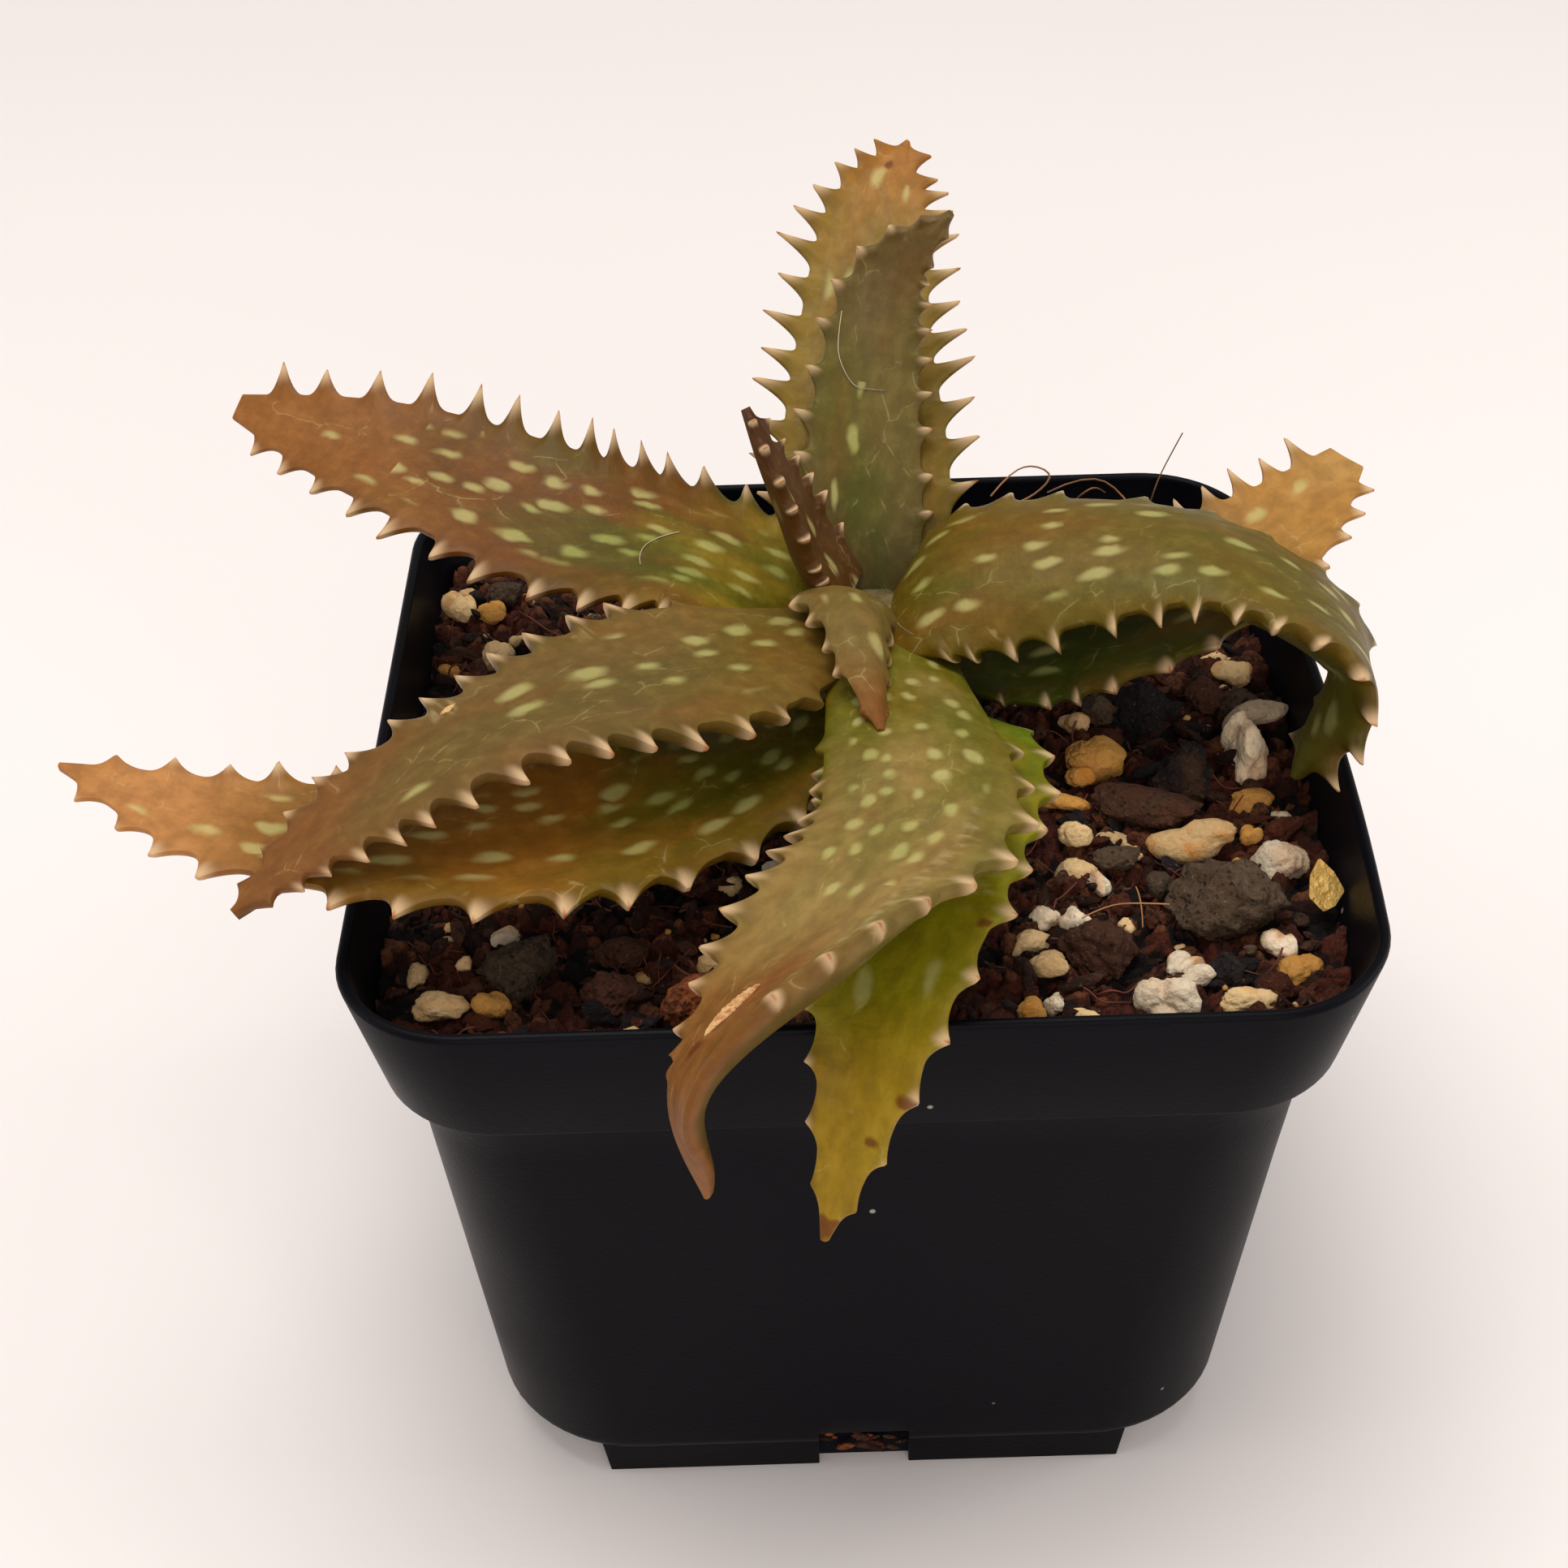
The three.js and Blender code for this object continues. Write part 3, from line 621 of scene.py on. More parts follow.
def toothRow(count, length, dwindle, t, reach, draw):
    look = bladeMesh
    stand, point, glow = (np.zeros_like(t) for _ in range(3))    # how far out, how near a tip or a tooth
    spacing = look["toothed"] * reach[-1] / count
    for i in range(count):
        own = i + 0.5 + look["toothJitter"] * (draw.random() - 0.5)
        at = look["firstTooth"] + look["toothed"] * own / count
        size = look["firstSize"] + (1 - look["firstSize"]) * between(at, *look["fullAt"])
        size -= dwindle * between(at, look["dwindleFrom"], 1)
        least, spread = look["toothHeights"]
        height = length * max(0, size) * (least + spread * draw.random())
        centre = np.interp(at, t, reach)
        offset = (reach - centre) / spacing
        offset /= np.where(offset < 0, look["toothBack"], look["toothFront"])      # steeper towards the tip
        near = np.clip(1 - np.abs(offset), 0, 1)
        spine = near ** look["toothHollow"]
        stand = np.maximum(stand, height * (spine + look["toothLobe"] * (smoothStep(near) - spine)))
        if height > 0:
            point = np.maximum(point, spine * between(height / length, *look["palePoint"]))
            glow = np.maximum(glow, np.exp(-(offset * look["glowWidth"]) ** 2))
    return stand, point, glow


def bladePoints(leaf, rail, station, v, upper, stand, raised=0.0):
    cup = np.where(np.abs(rail["cup"]) < 1e-3, 1e-3, rail["cup"])[station]
    width = rail["width"][station]
    sideways = width * np.sin(v * cup) / cup
    lift = width * (1 - np.cos(v * cup)) / cup
    side, up, along = (rail[k][station] for k in ("side", "up", "along"))
    slope = (v * cup)[:, None]
    outward = side * np.cos(slope) + up * np.sin(slope)
    normal = up * np.cos(slope) - side * np.sin(slope)
    points = rail["middle"][station] + side * sideways[:, None] + up * lift[:, None]
    toothShare = stand / max(leaf["tooth"])
    bulge = rail["thick"][station] * np.clip(1 - v * v, 0, 1) ** 0.7
    half = bladeMesh["marginThickness"] / 2 * (1 - 0.7 * np.clip(toothShare, 0, 1))
    share = np.where(upper, bladeMesh["upperShare"], bladeMesh["upperShare"] - 1)
    offset = np.sign(share) * (half + raised) + share * bulge
    points += normal * offset[:, None]
    lean, droop = (np.where(v > 0, *leaf[k]) for k in ("lean", "droop"))
    points += outward * (np.sign(v) * stand)[:, None] + along * (lean * stand)[:, None]
    points -= normal * (droop * stand)[:, None]
    return points


def growLeaf(leaf, seed, material):
    clearSelection()
    bpy.ops.mesh.primitive_grid_add(x_subdivisions=bladeMesh["along"], y_subdivisions=bladeMesh["across"],
                                    size=2)
    blade = bpy.context.object
    bpy.ops.object.mode_set(mode="EDIT")
    bpy.ops.mesh.select_all(action="SELECT")
    bpy.ops.mesh.extrude_region_move(TRANSFORM_OT_translate={"value": (0, 0, -1)})
    closeMesh()
    flat = pointsOf(blade.data)
    rows, station = np.unique(np.round(flat[:, 0], 5), return_inverse=True)
    t = (rows - rows[0]) / (rows[-1] - rows[0])
    v = np.sign(flat[:, 1]) * (1 - (1 - np.abs(flat[:, 1])) ** bladeMesh["crowding"])
    upper = flat[:, 2] > -0.5
    rail = leafRail(leaf, t)
    draw = random.Random(seed)
    counts = zip(leaf["teeth"], leaf["tooth"], leaf["dwindle"])
    leftRow, rightRow = (toothRow(*row, t, rail["reach"], draw) for row in counts)
    zone = between(np.abs(v), bladeMesh["toothZone"], 1)
    stand, point, glow = (np.where(v > 0, left[station], right[station]) * zone
                          for left, right in zip(leftRow, rightRow))
    raised = bladeMesh["bumpHeight"] * glow * smoothStep((1 - np.abs(v)) / bladeMesh["bumpWidth"])
    raised *= smoothStep(stand * 4)           # no bump without a tooth
    points = bladePoints(leaf, rail, station, v, upper, stand, raised)
    placePoints(blade.data, points)
    addAttribute(blade.data, "leafPlace", np.stack([t[station], np.abs(v), upper], axis=1))
    across = v * rail["width"][station]
    ownPart = (130 * seed, 40 * seed)         # each leaf has its own part of the patterns
    addAttribute(blade.data, "leafMm", np.stack([rail["reach"][station] + ownPart[0], across + ownPart[1],
                                                 np.zeros_like(across)], axis=1))
    addAttribute(blade.data, "toothMask", np.stack([point, glow, np.zeros_like(v)], axis=1))
    addAttribute(blade.data, "leafMarks", markShares(leaf, rail, t, station, v, upper))
    node = leaf["node"]
    return finishPiece(blade, "blade_" + node, material, [node], 48)


def markShares(leaf, rail, t, station, v, upper):           # how much of a crust or bruise is at each point
    shares = np.zeros((len(v), 3))
    for kind, at, over, halfLength, halfWidth in leafMarks.get(leaf["node"], ()):
        along = rail["reach"][station] - np.interp(at, t, rail["reach"])
        sideways = (v - over) * rail["width"][station]
        ragged = 0.25 * np.sin(along * 3.1) + 0.2 * np.sin(sideways * 4.3 + 1)
        away = np.hypot(along / halfLength, sideways / halfWidth) + ragged
        column = ("crust", "bruise").index(kind)
        shares[:, column] = np.maximum(shares[:, column], smoothStep((1.15 - away) / 0.5) * upper)
    return shares


# the dark brown serves as random dark mottle and as painted shade behind the teeth and along the margin
leafPaint = {
    "spot": paint(194, 186, 118), "mossySpot": paint(146, 160, 64), "tooth": paint(214, 180, 138),
    "burnt": paint(166, 84, 34), "darkMottleAndShade": paint(52, 34, 12), "moss": paint(66, 80, 6),
    "haze": paint(200, 170, 110), "blush": paint(126, 66, 18), "crust": paint(196, 182, 130),
    "bruise": paint(96, 40, 14),
}


def leafSkinGroup():
    moss = leafPaint["moss"]
    inputs = [("Base", "colour", moss), ("Middle", "colour", moss), ("Tip", "colour", moss),
              ("Under", "colour", moss), ("Green", "value", 0.3), ("Spots", "value", 0.6),
              ("Spot End", "value", 0.9), ("Spot Length", "value", 6.4), ("Spot Width", "value", 2.9),
              ("Tip Start", "value", 0.55), ("Base End", "value", 0.4)]
    outputs = [("Colour", "colour"), ("Roughness", "value"), ("Height", "value")]
    group, given, out = newGroup("leafSkin", inputs, outputs)
    byMm, _ = ownValues(group, "leafMm")
    _, (along, across, face) = ownValues(group, "leafPlace")
    _, (tooth, glow, _) = ownValues(group, "toothMask")
    _, (crust, bruise, _) = ownValues(group, "leafMarks")

    def pattern(scale, detail, roughness=0.5, start=(0, 0, 0)):       # soft noise, by the millimetre
        return noiseOf(group, stretched(group, byMm, (*scale, 1), start), 1.0, detail, roughness)

    def shifted(vector, amount, x, y):    # a place moved by an amount of noise
        by = addNode(group, "ShaderNodeCombineXYZ", {"X": times(group, amount, x),
                                                     "Y": times(group, amount, y)}).outputs[0]
        return addNode(group, "ShaderNodeVectorMath", {0: vector, 1: by}, operation="ADD").outputs[0]

    def cellsOf(vector, scale, randomness=1.0, feature="F1"):
        values = {"Vector": stretched(group, vector, scale), "Scale": 1.0, "Randomness": randomness}
        return addNode(group, "ShaderNodeTexVoronoi", values, voronoi_dimensions="2D", feature=feature).outputs

    creases = pattern((1.1, 0.35), 3)
    patches = pattern((0.05, 0.14), 2, start=(5, 2, 3))
    blush = pattern((0.08, 0.2), 2, start=(9, 4, 7))
    mottle = pattern((0.45, 0.6), 4, 0.6)
    flecks = pattern((2.4, 2.8), 4, 0.75)
    warp = pattern((0.3, 0.3), 2)
    tangle = pattern((0.5, 0.5), 2, start=(3, 8, 1))

    # long soft changes of colour
    wander = times(group, calc(group, "SUBTRACT", pattern((0.06, 0.11), 2), 0.5), 0.7)
    reach = plus(group, along, wander)
    baseStart = calc(group, "SUBTRACT", given["Base End"], 0.32)
    tipEnd = plus(group, given["Tip Start"], 0.42)
    mossy = times(group, rise(group, patches, 0.4, 0.62), rise(group, along, 0.9, 0.25))
    mossy = times(group, mossy, given["Green"])

    # pale oblong spots in loose rows
    spacing = addNode(group, "ShaderNodeCombineXYZ", {
        "X": calc(group, "DIVIDE", 1.0, given["Spot Length"]),
        "Y": calc(group, "DIVIDE", 1.0, given["Spot Width"])}).outputs[0]
    bent = shifted(byMm, warp, 2.0, 1.6)
    cells = cellsOf(bent, spacing, randomness=0.72)
    chance = addNode(group, "ShaderNodeSeparateColor", {"Color": cells["Color"]}).outputs
    past = calc(group, "SUBTRACT", along, given["Spot End"])
    fewer = plus(group, rise(group, past, -0.1, 0.15, 0.0, 0.9), calc(group, "SUBTRACT", 1.0, given["Spots"]))
    size = plus(group, times(group, chance["Green"], 0.11), 0.03)
    edge = calc(group, "SUBTRACT", plus(group, cells["Distance"], times(group, warp, 0.1)), 0.05)
    spot = times(group, calc(group, "GREATER_THAN", chance["Red"], fewer),
                 rise(group, edge, plus(group, size, 0.24), size))
    spot = times(group, spot, rise(group, across, 0.76, 0.62))
    spotTone = mixColour(group, mossy, leafPaint["spot"], leafPaint["mossySpot"])

    # painted shade: dark behind each tooth; underneath greener, and darker as painted shade
    behind = times(group, rise(group, across, 0.7, 0.86), rise(group, across, 1.0, 0.92))
    darkMottleAndShade = times(group, behind, rise(group, glow, 0.2, 0.75))
    undersideTintAndShade = times(group, rise(group, face, 0.9, 0.1, 0, 0.65), rise(group, across, 0.97, 0.72))

    # fine pale scratches
    net = cellsOf(shifted(bent, tangle, 2.4, 1.2), (0.2, 0.36, 1), feature="DISTANCE_TO_EDGE")["Distance"]
    scratched = times(group, rise(group, net, 0.035, 0.008), rise(group, blush, 0.5, 0.4))
    scratched = times(group, scratched, rise(group, mottle, 0.42, 0.6, 0.0, 0.2))

    tone = given["Base"]
    for amount, colour in (
            (rise(group, reach, baseStart, given["Base End"]), given["Middle"]),
            (rise(group, reach, given["Tip Start"], tipEnd), given["Tip"]),
            (mossy, leafPaint["moss"]),
            (rise(group, blush, 0.48, 0.7, 0.0, 0.2), leafPaint["blush"]),
            (rise(group, mottle, 0.3, 0.65, 0.28, 0.0), leafPaint["darkMottleAndShade"]),
            (rise(group, mottle, 0.5, 0.8, 0.0, 0.07), leafPaint["haze"]),
            (times(group, spot, 0.52), spotTone),
            # painted shade behind each raised tooth
            (times(group, darkMottleAndShade, 0.22), leafPaint["darkMottleAndShade"]),
            # painted shade on the margin's side wall, which catches the light
            (rise(group, across, 0.97, 1.0, 0, 0.15), leafPaint["darkMottleAndShade"]),
            (rise(group, tooth, 0.28, 0.85, 0, 0.74), leafPaint["tooth"]),
            (rise(group, tooth, 0.82, 0.97, 0, 0.85), leafPaint["burnt"]),
            # the underside: its own greener tint, and darker as painted shade
            (undersideTintAndShade, given["Under"]),
            (rise(group, flecks, 0.68, 0.82, 0, 0.4), leafPaint["haze"]),
            (scratched, leafPaint["crust"]),
            (times(group, crust, rise(group, creases, 0.4, 0.65, 0.0, 0.3)), leafPaint["crust"]),
            (times(group, bruise, 0.8), leafPaint["bruise"])):
        tone = mixColour(group, amount, tone, colour)
    group.links.new(tone, out["Colour"])
    group.links.new(rise(group, pattern((0.3, 0.6), 3), 0.25, 0.75, 0.36, 0.52), out["Roughness"])
    relief = plus(group, plus(group, mottle, times(group, creases, 0.7)), times(group, flecks, 0.3))
    group.links.new(relief, out["Height"])
    return group


def leafMaterial(leaf, skin):
    material, tree, shader = newMaterial("skin_" + leaf["node"])
    values = {key.capitalize(): paint(*leaf[key]) for key in ("base", "middle", "tip", "under")}
    for label, key in (("Green", "green"), ("Spots", "spots"), ("Spot End", "spotEnd"),
                       ("Spot Length", "spotLength"), ("Spot Width", "spotWidth"),
                       ("Tip Start", "tipStart"), ("Base End", "baseEnd")):
        values[label] = leaf[key]
    made = addGroup(tree, skin, values)
    addBump(tree, shader, made["Height"], 0.00018, 0.6)
    setShader(tree, shader, {"Base Color": made["Colour"], "Roughness": made["Roughness"],
                             "Specular IOR Level": 0.15, "Subsurface Weight": 0.1,
                             "Subsurface Radius": (1.0, 0.7, 0.25), "Subsurface Scale": 0.0015})
    return material


# Corky scabs that stand on the skin: leaf, two ends as share of its length and place across, half width
# and height in mm
scabs = [
    ("leaf_front_upper", (0.6, 0.03), (0.685, -0.05), 0.85, 0.4),
    ("leaf_left_middle", (0.53, -0.82), (0.56, -0.78), 0.4, 0.15),
]


allAlong = np.linspace(0, 1, bladeMesh["along"] + 1)


def onLeaf(leaf, rail, t, v, raised):     # places over the upper face of a leaf, between its stations
    step = np.clip(t, 0, 0.999) * bladeMesh["along"]
    station = step.astype(int)
    share = (step - station)[:, None]
    ends = [bladePoints(leaf, rail, station + k, v, np.ones(len(v), bool), np.zeros(len(v)), raised)
            for k in (0, 1)]
    return ends[0] * (1 - share) + ends[1] * share


def makeScabs(material):
    patches = []
    for number, (node, start, end, halfWidth, height) in enumerate(scabs):
        clearSelection()
        bpy.ops.mesh.primitive_uv_sphere_add(segments=40, ring_count=60, rotation=(0, math.pi / 2, 0))
        bpy.ops.object.transform_apply(rotation=True)
        patch = bpy.context.object
        x, y, z = pointsOf(patch.data).T
        rail = leafRail(leafOf[node], allAlong)
        t = start[0] + (end[0] - start[0]) * (x + 1) / 2
        middle = start[1] + (end[1] - start[1]) * (x + 1) / 2
        ragged = 1 + 0.12 * np.sin(x * 9 + number) + 0.08 * np.sin(x * 23)
        width = np.interp(t, allAlong, rail["width"])
        v = middle + y * halfWidth * ragged * np.sqrt(np.clip(1 - x * x, 0, 1)) / width
        ridges = 1 + 0.25 * np.sin(y * 11 + x * 3) + 0.12 * np.sin(x * 40 + y * 5)
        points = onLeaf(leafOf[node], rail, t, v, z * height * ridges)
        placePoints(patch.data, points)
        patches.append(patch)
    return joinPieces(patches, "corkScabs", material)


def corkMaterial():
    material, tree, shader = newMaterial("dryCork")
    coords = objectCoords(tree)
    grain = noiseOf(tree, stretched(tree, coords, (1, 1.5, 1)), 1400, 4, 0.65)
    tone = mixColour(tree, rise(tree, grain, 0.35, 0.6), paint(176, 112, 58), paint(222, 176, 118))
    setShader(tree, shader, {"Base Color": tone, "Roughness": 0.8})
    addBump(tree, shader, grain, 0.0003)
    return material


print("leaves")
leafSkin = leafSkinGroup()
for number, leaf in enumerate(leaves):
    growLeaf(leaf, number + 1, leafMaterial(leaf, leafSkin))
makeScabs(corkMaterial())


# Stem

def stemMaterial():
    material, tree, shader = newMaterial("dryStem")
    coords = objectCoords(tree)
    broad = noiseOf(tree, coords, 175, 3)
    fine = noiseOf(tree, coords, 500, 5, 0.65)
    tone = mixColour(tree, rise(tree, broad, 0.35, 0.7), paint(96, 82, 40), paint(140, 118, 70))
    tone = mixColour(tree, rise(tree, fine, 0.35, 0.62, 0.65, 0.0), tone, paint(20, 12, 8))
    setShader(tree, shader, {"Base Color": tone, "Roughness": 0.9})
    addBump(tree, shader, plus(tree, fine, times(tree, broad, 0.6)), 0.0003)
    return material


stemLook = {"axis": (3.3, 6.0), "profile": [(3.4, 51.5), (4.8, 58), (5.6, 66), (6.0, 71), (3.0, 76)],
            "sides": 48, "rings": 40}


def makeStem(material):
    clearSelection()
    bpy.ops.mesh.primitive_cylinder_add(vertices=stemLook["sides"], radius=1, depth=2)
    stem = bpy.context.object
    bpy.ops.object.mode_set(mode="EDIT")
    bpy.ops.mesh.select_all(action="DESELECT")
    body = bmesh.from_edit_mesh(stem.data)
    for edge in body.edges:               # the upright edges
        edge.select = abs(edge.verts[0].co.z - edge.verts[1].co.z) > 1
    bpy.ops.mesh.subdivide(number_cuts=stemLook["rings"])
    bpy.ops.object.mode_set(mode="OBJECT")
    points = pointsOf(stem.data)
    share = (points[:, 2] + 1) / 2
    radii, heights = (spline([row[k] for row in stemLook["profile"]], share)[:, 0] for k in (0, 1))
    scars = 1 + 0.05 * np.sin(heights * 2.2) + 0.03 * np.sin(np.arctan2(points[:, 1], points[:, 0]) * 7)
    ring = points[:, :2] * (radii * scars)[:, None] + np.array(stemLook["axis"])
    placePoints(stem.data, np.column_stack([ring, heights]))
    return finishPiece(stem, "stemStub", material, ["stem"], 40)


print("stem")
makeStem(stemMaterial())


# Mix in the pot, shaped by noise

mixLook = {
    "top": 61.2, "half": 42.5, "corner": 11.0, "cells": 290, "unevenness": 0.9,
    "chips": [((3.1, 2.3), 1.5), ((1.5, 1.1), 0.8)], "crumbs": 0.35,
    "walls": [(41.3, 10.0, 55.0), (39.0, 8.6, 52.6), (35.4, 12.0, 5.6)],
}


def chipAt(x, y, size, depth):            # height in a bed of tilted chips, and the chip's own draw
    spot = Vector((x / size[0], y / size[1], 0.7 + depth))
    distances, centres = noise.voronoi(spot)
    centre = centres[0]
    draw = noise.noise(centre * 9.1)
    tilt = Vector((noise.noise(centre * 5.3), noise.noise(centre * 6.7), 0))
    crack = smoothStep((distances[1] - distances[0]) / 0.28)
    return depth * (draw + 1.3 * tilt.dot(spot - centre) + 0.6 * crack - 0.6), draw


def groundHeight(x, y):
    look = mixLook
    slow = look["unevenness"] * noise.noise(Vector((x / 17, y / 17, 3)))
    fine = look["crumbs"] * noise.fractal(Vector((x / 1.3, y / 1.3, 5)), 0.9, 2.1, 4)
    return look["top"] + slow + fine + sum(chipAt(x, y, size, depth)[0] for size, depth in look["chips"])


def roundedPlace(x, y, half, corner):     # a place in a square moved into one with round corners
    inner = half - corner
    out = Vector((abs(x) - inner, abs(y) - inner))
    if min(out) > 0:
        out = out.normalized() * max(out)
        x, y = math.copysign(inner + out.x, x), math.copysign(inner + out.y, y)
    return x, y


def makeMix(material):
    look = mixLook
    clearSelection()
    bpy.ops.mesh.primitive_grid_add(x_subdivisions=look["cells"], y_subdivisions=look["cells"],
                                    size=2 * look["half"])
    mix = bpy.context.object
    draws = []
    for vert in mix.data.vertices:
        x, y = roundedPlace(vert.co.x, vert.co.y, look["half"], look["corner"])
        draws.append([chipAt(x, y, size, depth)[1] + 0.5 for size, depth in look["chips"]] + [0])
        vert.co = (x, y, groundHeight(x, y))
    addAttribute(mix.data, "ownDraw", draws)
    bpy.ops.object.mode_set(mode="EDIT")
    bpy.ops.mesh.select_all(action="SELECT")
    bpy.ops.mesh.region_to_loop()
    previous = (look["half"], look["corner"])
    for half, corner, z in look["walls"]:
        bpy.ops.mesh.extrude_region_move(TRANSFORM_OT_translate={"value": (0, 0, -0.1)})
        body = bmesh.from_edit_mesh(mix.data)
        fitRing([v for v in body.verts if v.select], previous, (half, corner), z)
        bmesh.update_edit_mesh(mix.data)
        previous = (half, corner)
    bpy.ops.mesh.edge_face_add()
    closeMesh()
    placePoints(mix.data, bowSide(pointsOf(mix.data)))
    return finishPiece(mix, "mixBody", material, ["soil"])


# Stones, chips and crumbs lying in the mix

stoneColours = {
    "white": (253, 231, 198), "pink": (252, 224, 186), "cream": (246, 208, 150), "ochre": (222, 160, 78),
    "stained": (238, 194, 134), "grey": (106, 86, 66), "dark": (40, 34, 36), "brown": (98, 60, 42),
    "orange": (186, 100, 54), "bark": (54, 28, 18), "rust": (94, 44, 24),
}
pumiceKinds = ("white", "pink", "cream", "ochre", "stained")

# Standing out by size, as solids: node, place, half sizes, colour
largeStones = [
    ("stone_lava_grey", (33.5, -24, 62.5), (5.7, 5, 4.2), "grey"),
    ("stone_lava_dark", (32.2, -4, 62), (3.1, 3.8, 3.4), "dark"),
    ("stone_lava_back", (29.5, 7.5, 61.8), (4, 3.6, 3), "dark"),
    ("stone_lava_front", (21.5, -30, 62), (3.6, 3.3, 3), "brown"),
    ("stone_grey_left", (-29.8, -30.2, 62), (3.8, 3.4, 3), "grey"),
    ("stone_brown_left", (-21.8, -33.2, 62), (2.9, 2.6, 2.5), "brown"),
    ("stone_orange_left", (-14.6, -34, 62), (3.1, 2.7, 2.5), "orange"),
    ("stone_pumice_tall", (38.9, -0.5, 62.5), (2.3, 4.2, 3.4), "pink"),
    ("stone_pumice_wide", (24.3, -1.5, 62), (3, 2.4, 2.4), "ochre"),
    ("stone_pumice_front", (26.2, -37, 62), (2.8, 2.4, 2.4), "white"),
]

# The next in size: place, width and height in the picture, turn, colour
nextStones = [
    (41.0, 5.5, 2.8, 6.0, -65, "pink"), (39.0, 3.5, 1.8, 3.2, 75, "pink"),
    (37.0, 1.0, 3.0, 2.4, 0, "stained"), (38.5, -7.5, 4.4, 2.8, 0, "ochre"),
    (23.0, 5.5, 3.0, 2.6, 0, "cream"), (22.5, -3.5, 2.8, 2.6, 0, "ochre"),
    (28.0, -9.5, 10.0, 4.4, -25, "brown"), (24.5, -8.0, 1.8, 2.8, 0, "cream"),
    (20.5, -8.5, 2.0, 4.0, 80, "ochre"), (21.0, -12.5, 3.0, 3.2, 0, "cream"),
    (20.5, -17.5, 3.0, 3.4, -70, "cream"), (25.5, -12.5, 4.6, 2.2, -35, "cream"),
    (24.5, -16.5, 4.2, 2.6, 0, "grey"), (31.5, -15.5, 8.0, 3.4, 0, "stained"),
    (39.5, -17.0, 4.8, 4.4, -45, "white"), (24.0, -22.0, 3.0, 2.8, 0, "rust"),
    (17.0, -24.5, 2.6, 2.2, -45, "white"), (19.5, -26.0, 2.6, 2.4, 20, "white"),
    (15.5, -27.5, 2.4, 3.2, -70, "cream"), (28.5, -30.5, 3.4, 2.8, 30, "white"),
    (29.5, -33.0, 2.2, 2.6, 80, "white"), (16.5, -31.5, 3.4, 2.6, 0, "cream"),
    (17.0, -35.5, 2.4, 2.0, 0, "white"), (14.5, -37.0, 2.4, 2.8, 0, "ochre"),
    (19.0, -38.5, 2.8, 1.6, -20, "cream"), (33.0, -32.5, 3.4, 3.4, 0, "dark"),
    (39.0, -32.0, 4.4, 2.8, 20, "ochre"), (37.5, -28.5, 3.2, 2.6, -20, "white"),
    (34.0, -37.5, 5.0, 2.2, 0, "cream"), (38.0, -36.5, 3.4, 2.8, 0, "rust"),
    (36.5, 9.0, 4.0, 4.0, 0, "brown"), (40.0, 8.0, 4.4, 3.8, 0, "grey"), (25.5, 7.0, 3.4, 3.2, 0, "grey"),
    (40.0, 13.0, 3.8, 2.6, -40, "cream"), (37.0, 14.0, 3.4, 1.4, 0, "white"),
    (39.0, 17.0, 3.4, 2.0, 0, "cream"), (41.0, -10.0, 2.0, 2.0, 0, "white"),
    (40.5, -13.0, 2.4, 4.4, -60, "rust"), (-38.0, -36.0, 4.8, 2.4, -10, "cream"),
    (-32.5, -35.0, 3.2, 2.6, 30, "ochre"), (-36.0, -32.5, 5.0, 2.6, 0, "rust"),
    (-39.0, -29.5, 1.8, 2.4, 0, "cream"), (-21.0, -27.0, 4.8, 3.0, 0, "brown"),
    (-31.5, -25.5, 2.8, 1.6, 25, "white"), (-40.0, 29.0, 3.6, 3.4, 0, "cream"),
    (-40.0, 33.0, 3.0, 1.8, 0, "cream"), (-36.5, 28.0, 3.0, 3.0, 0, "ochre"),
    (-35.5, 31.5, 3.6, 3.2, 0, "grey"), (-35.5, 21.5, 3.4, 3.0, 0, "cream"),
    (-40.5, 20.0, 2.2, 1.6, 0, "ochre"), (-40.5, 12.5, 3.2, 2.0, 0, "ochre"),
    (-39.0, 22.0, 1.4, 3.0, 70, "bark"), (16.5, 40.0, 2.6, 2.0, 0, "cream"),
    (36.0, 40.0, 2.2, 2.0, 0, "cream"), (38.0, 38.5, 2.8, 2.4, 0, "stained"),
    (20.5, 40.5, 3.6, 2.0, 0, "rust"),
]

stoneLook = {
    "largeDetail": 5, "details": (4, 3, 2), "variants": 8, "seed": 31, "shade": (0.82, 1.0),
    "sink": 0.14, "chipSink": 0.1, "edgeRoom": 1.6, "nextStretch": (1.08, 1.25, 0.95),
    "smallCount": 420, "smallSizes": (0.3, 0.4, 0.5, 0.6, 0.8, 1.0, 1.3, 1.7),
    "smallColours": ("white", "cream", "ochre", "cream", "grey", "dark", "brown", "rust", "stained"),
    "chipCount": 1500, "chipSize": (0.35, 1.5), "chipShape": ((0.8, 1.7), (0.35, 0.8), (0.18, 0.5)),
    "chipColours": ("bark", "bark", "bark", "bark", "rust", "rust", "dark", "dark", "brown"),
}
lumpLook = {
    "core": 0.5, "lobes": (2, 4), "lobeAt": (0.4, 0.66), "lobeSize": (0.34, 0.54), "lobeWidth": 0.8,
    "lobeHeight": 0.5, "blend": 16, "breaks": 4, "breakAt": (0.45, 0.8), "taken": 0.7,
    "waves": 0.07, "grain": 0.03,
}
rockLook = {"breakAt": (0.55, 0.82), "taken": 0.88, "pitScale": 4.2, "pitSize": 0.32, "pitDepth": 2.2}


def flatBreaks(draw, count, nearest, furthest):
    breaks = []
    for _ in range(count):
        way = Vector((draw.uniform(-1, 1), draw.uniform(-1, 1), draw.uniform(-1, 1))).normalized()
        breaks.append((way, draw.uniform(nearest, furthest)))
    return breaks


def breakAway(co, breaks, share):         # what stands past each flat break is mostly taken off
    for way, reach in breaks:
        over = co.dot(way) - reach
        if over > 0:
            co -= way * over * share
    return co


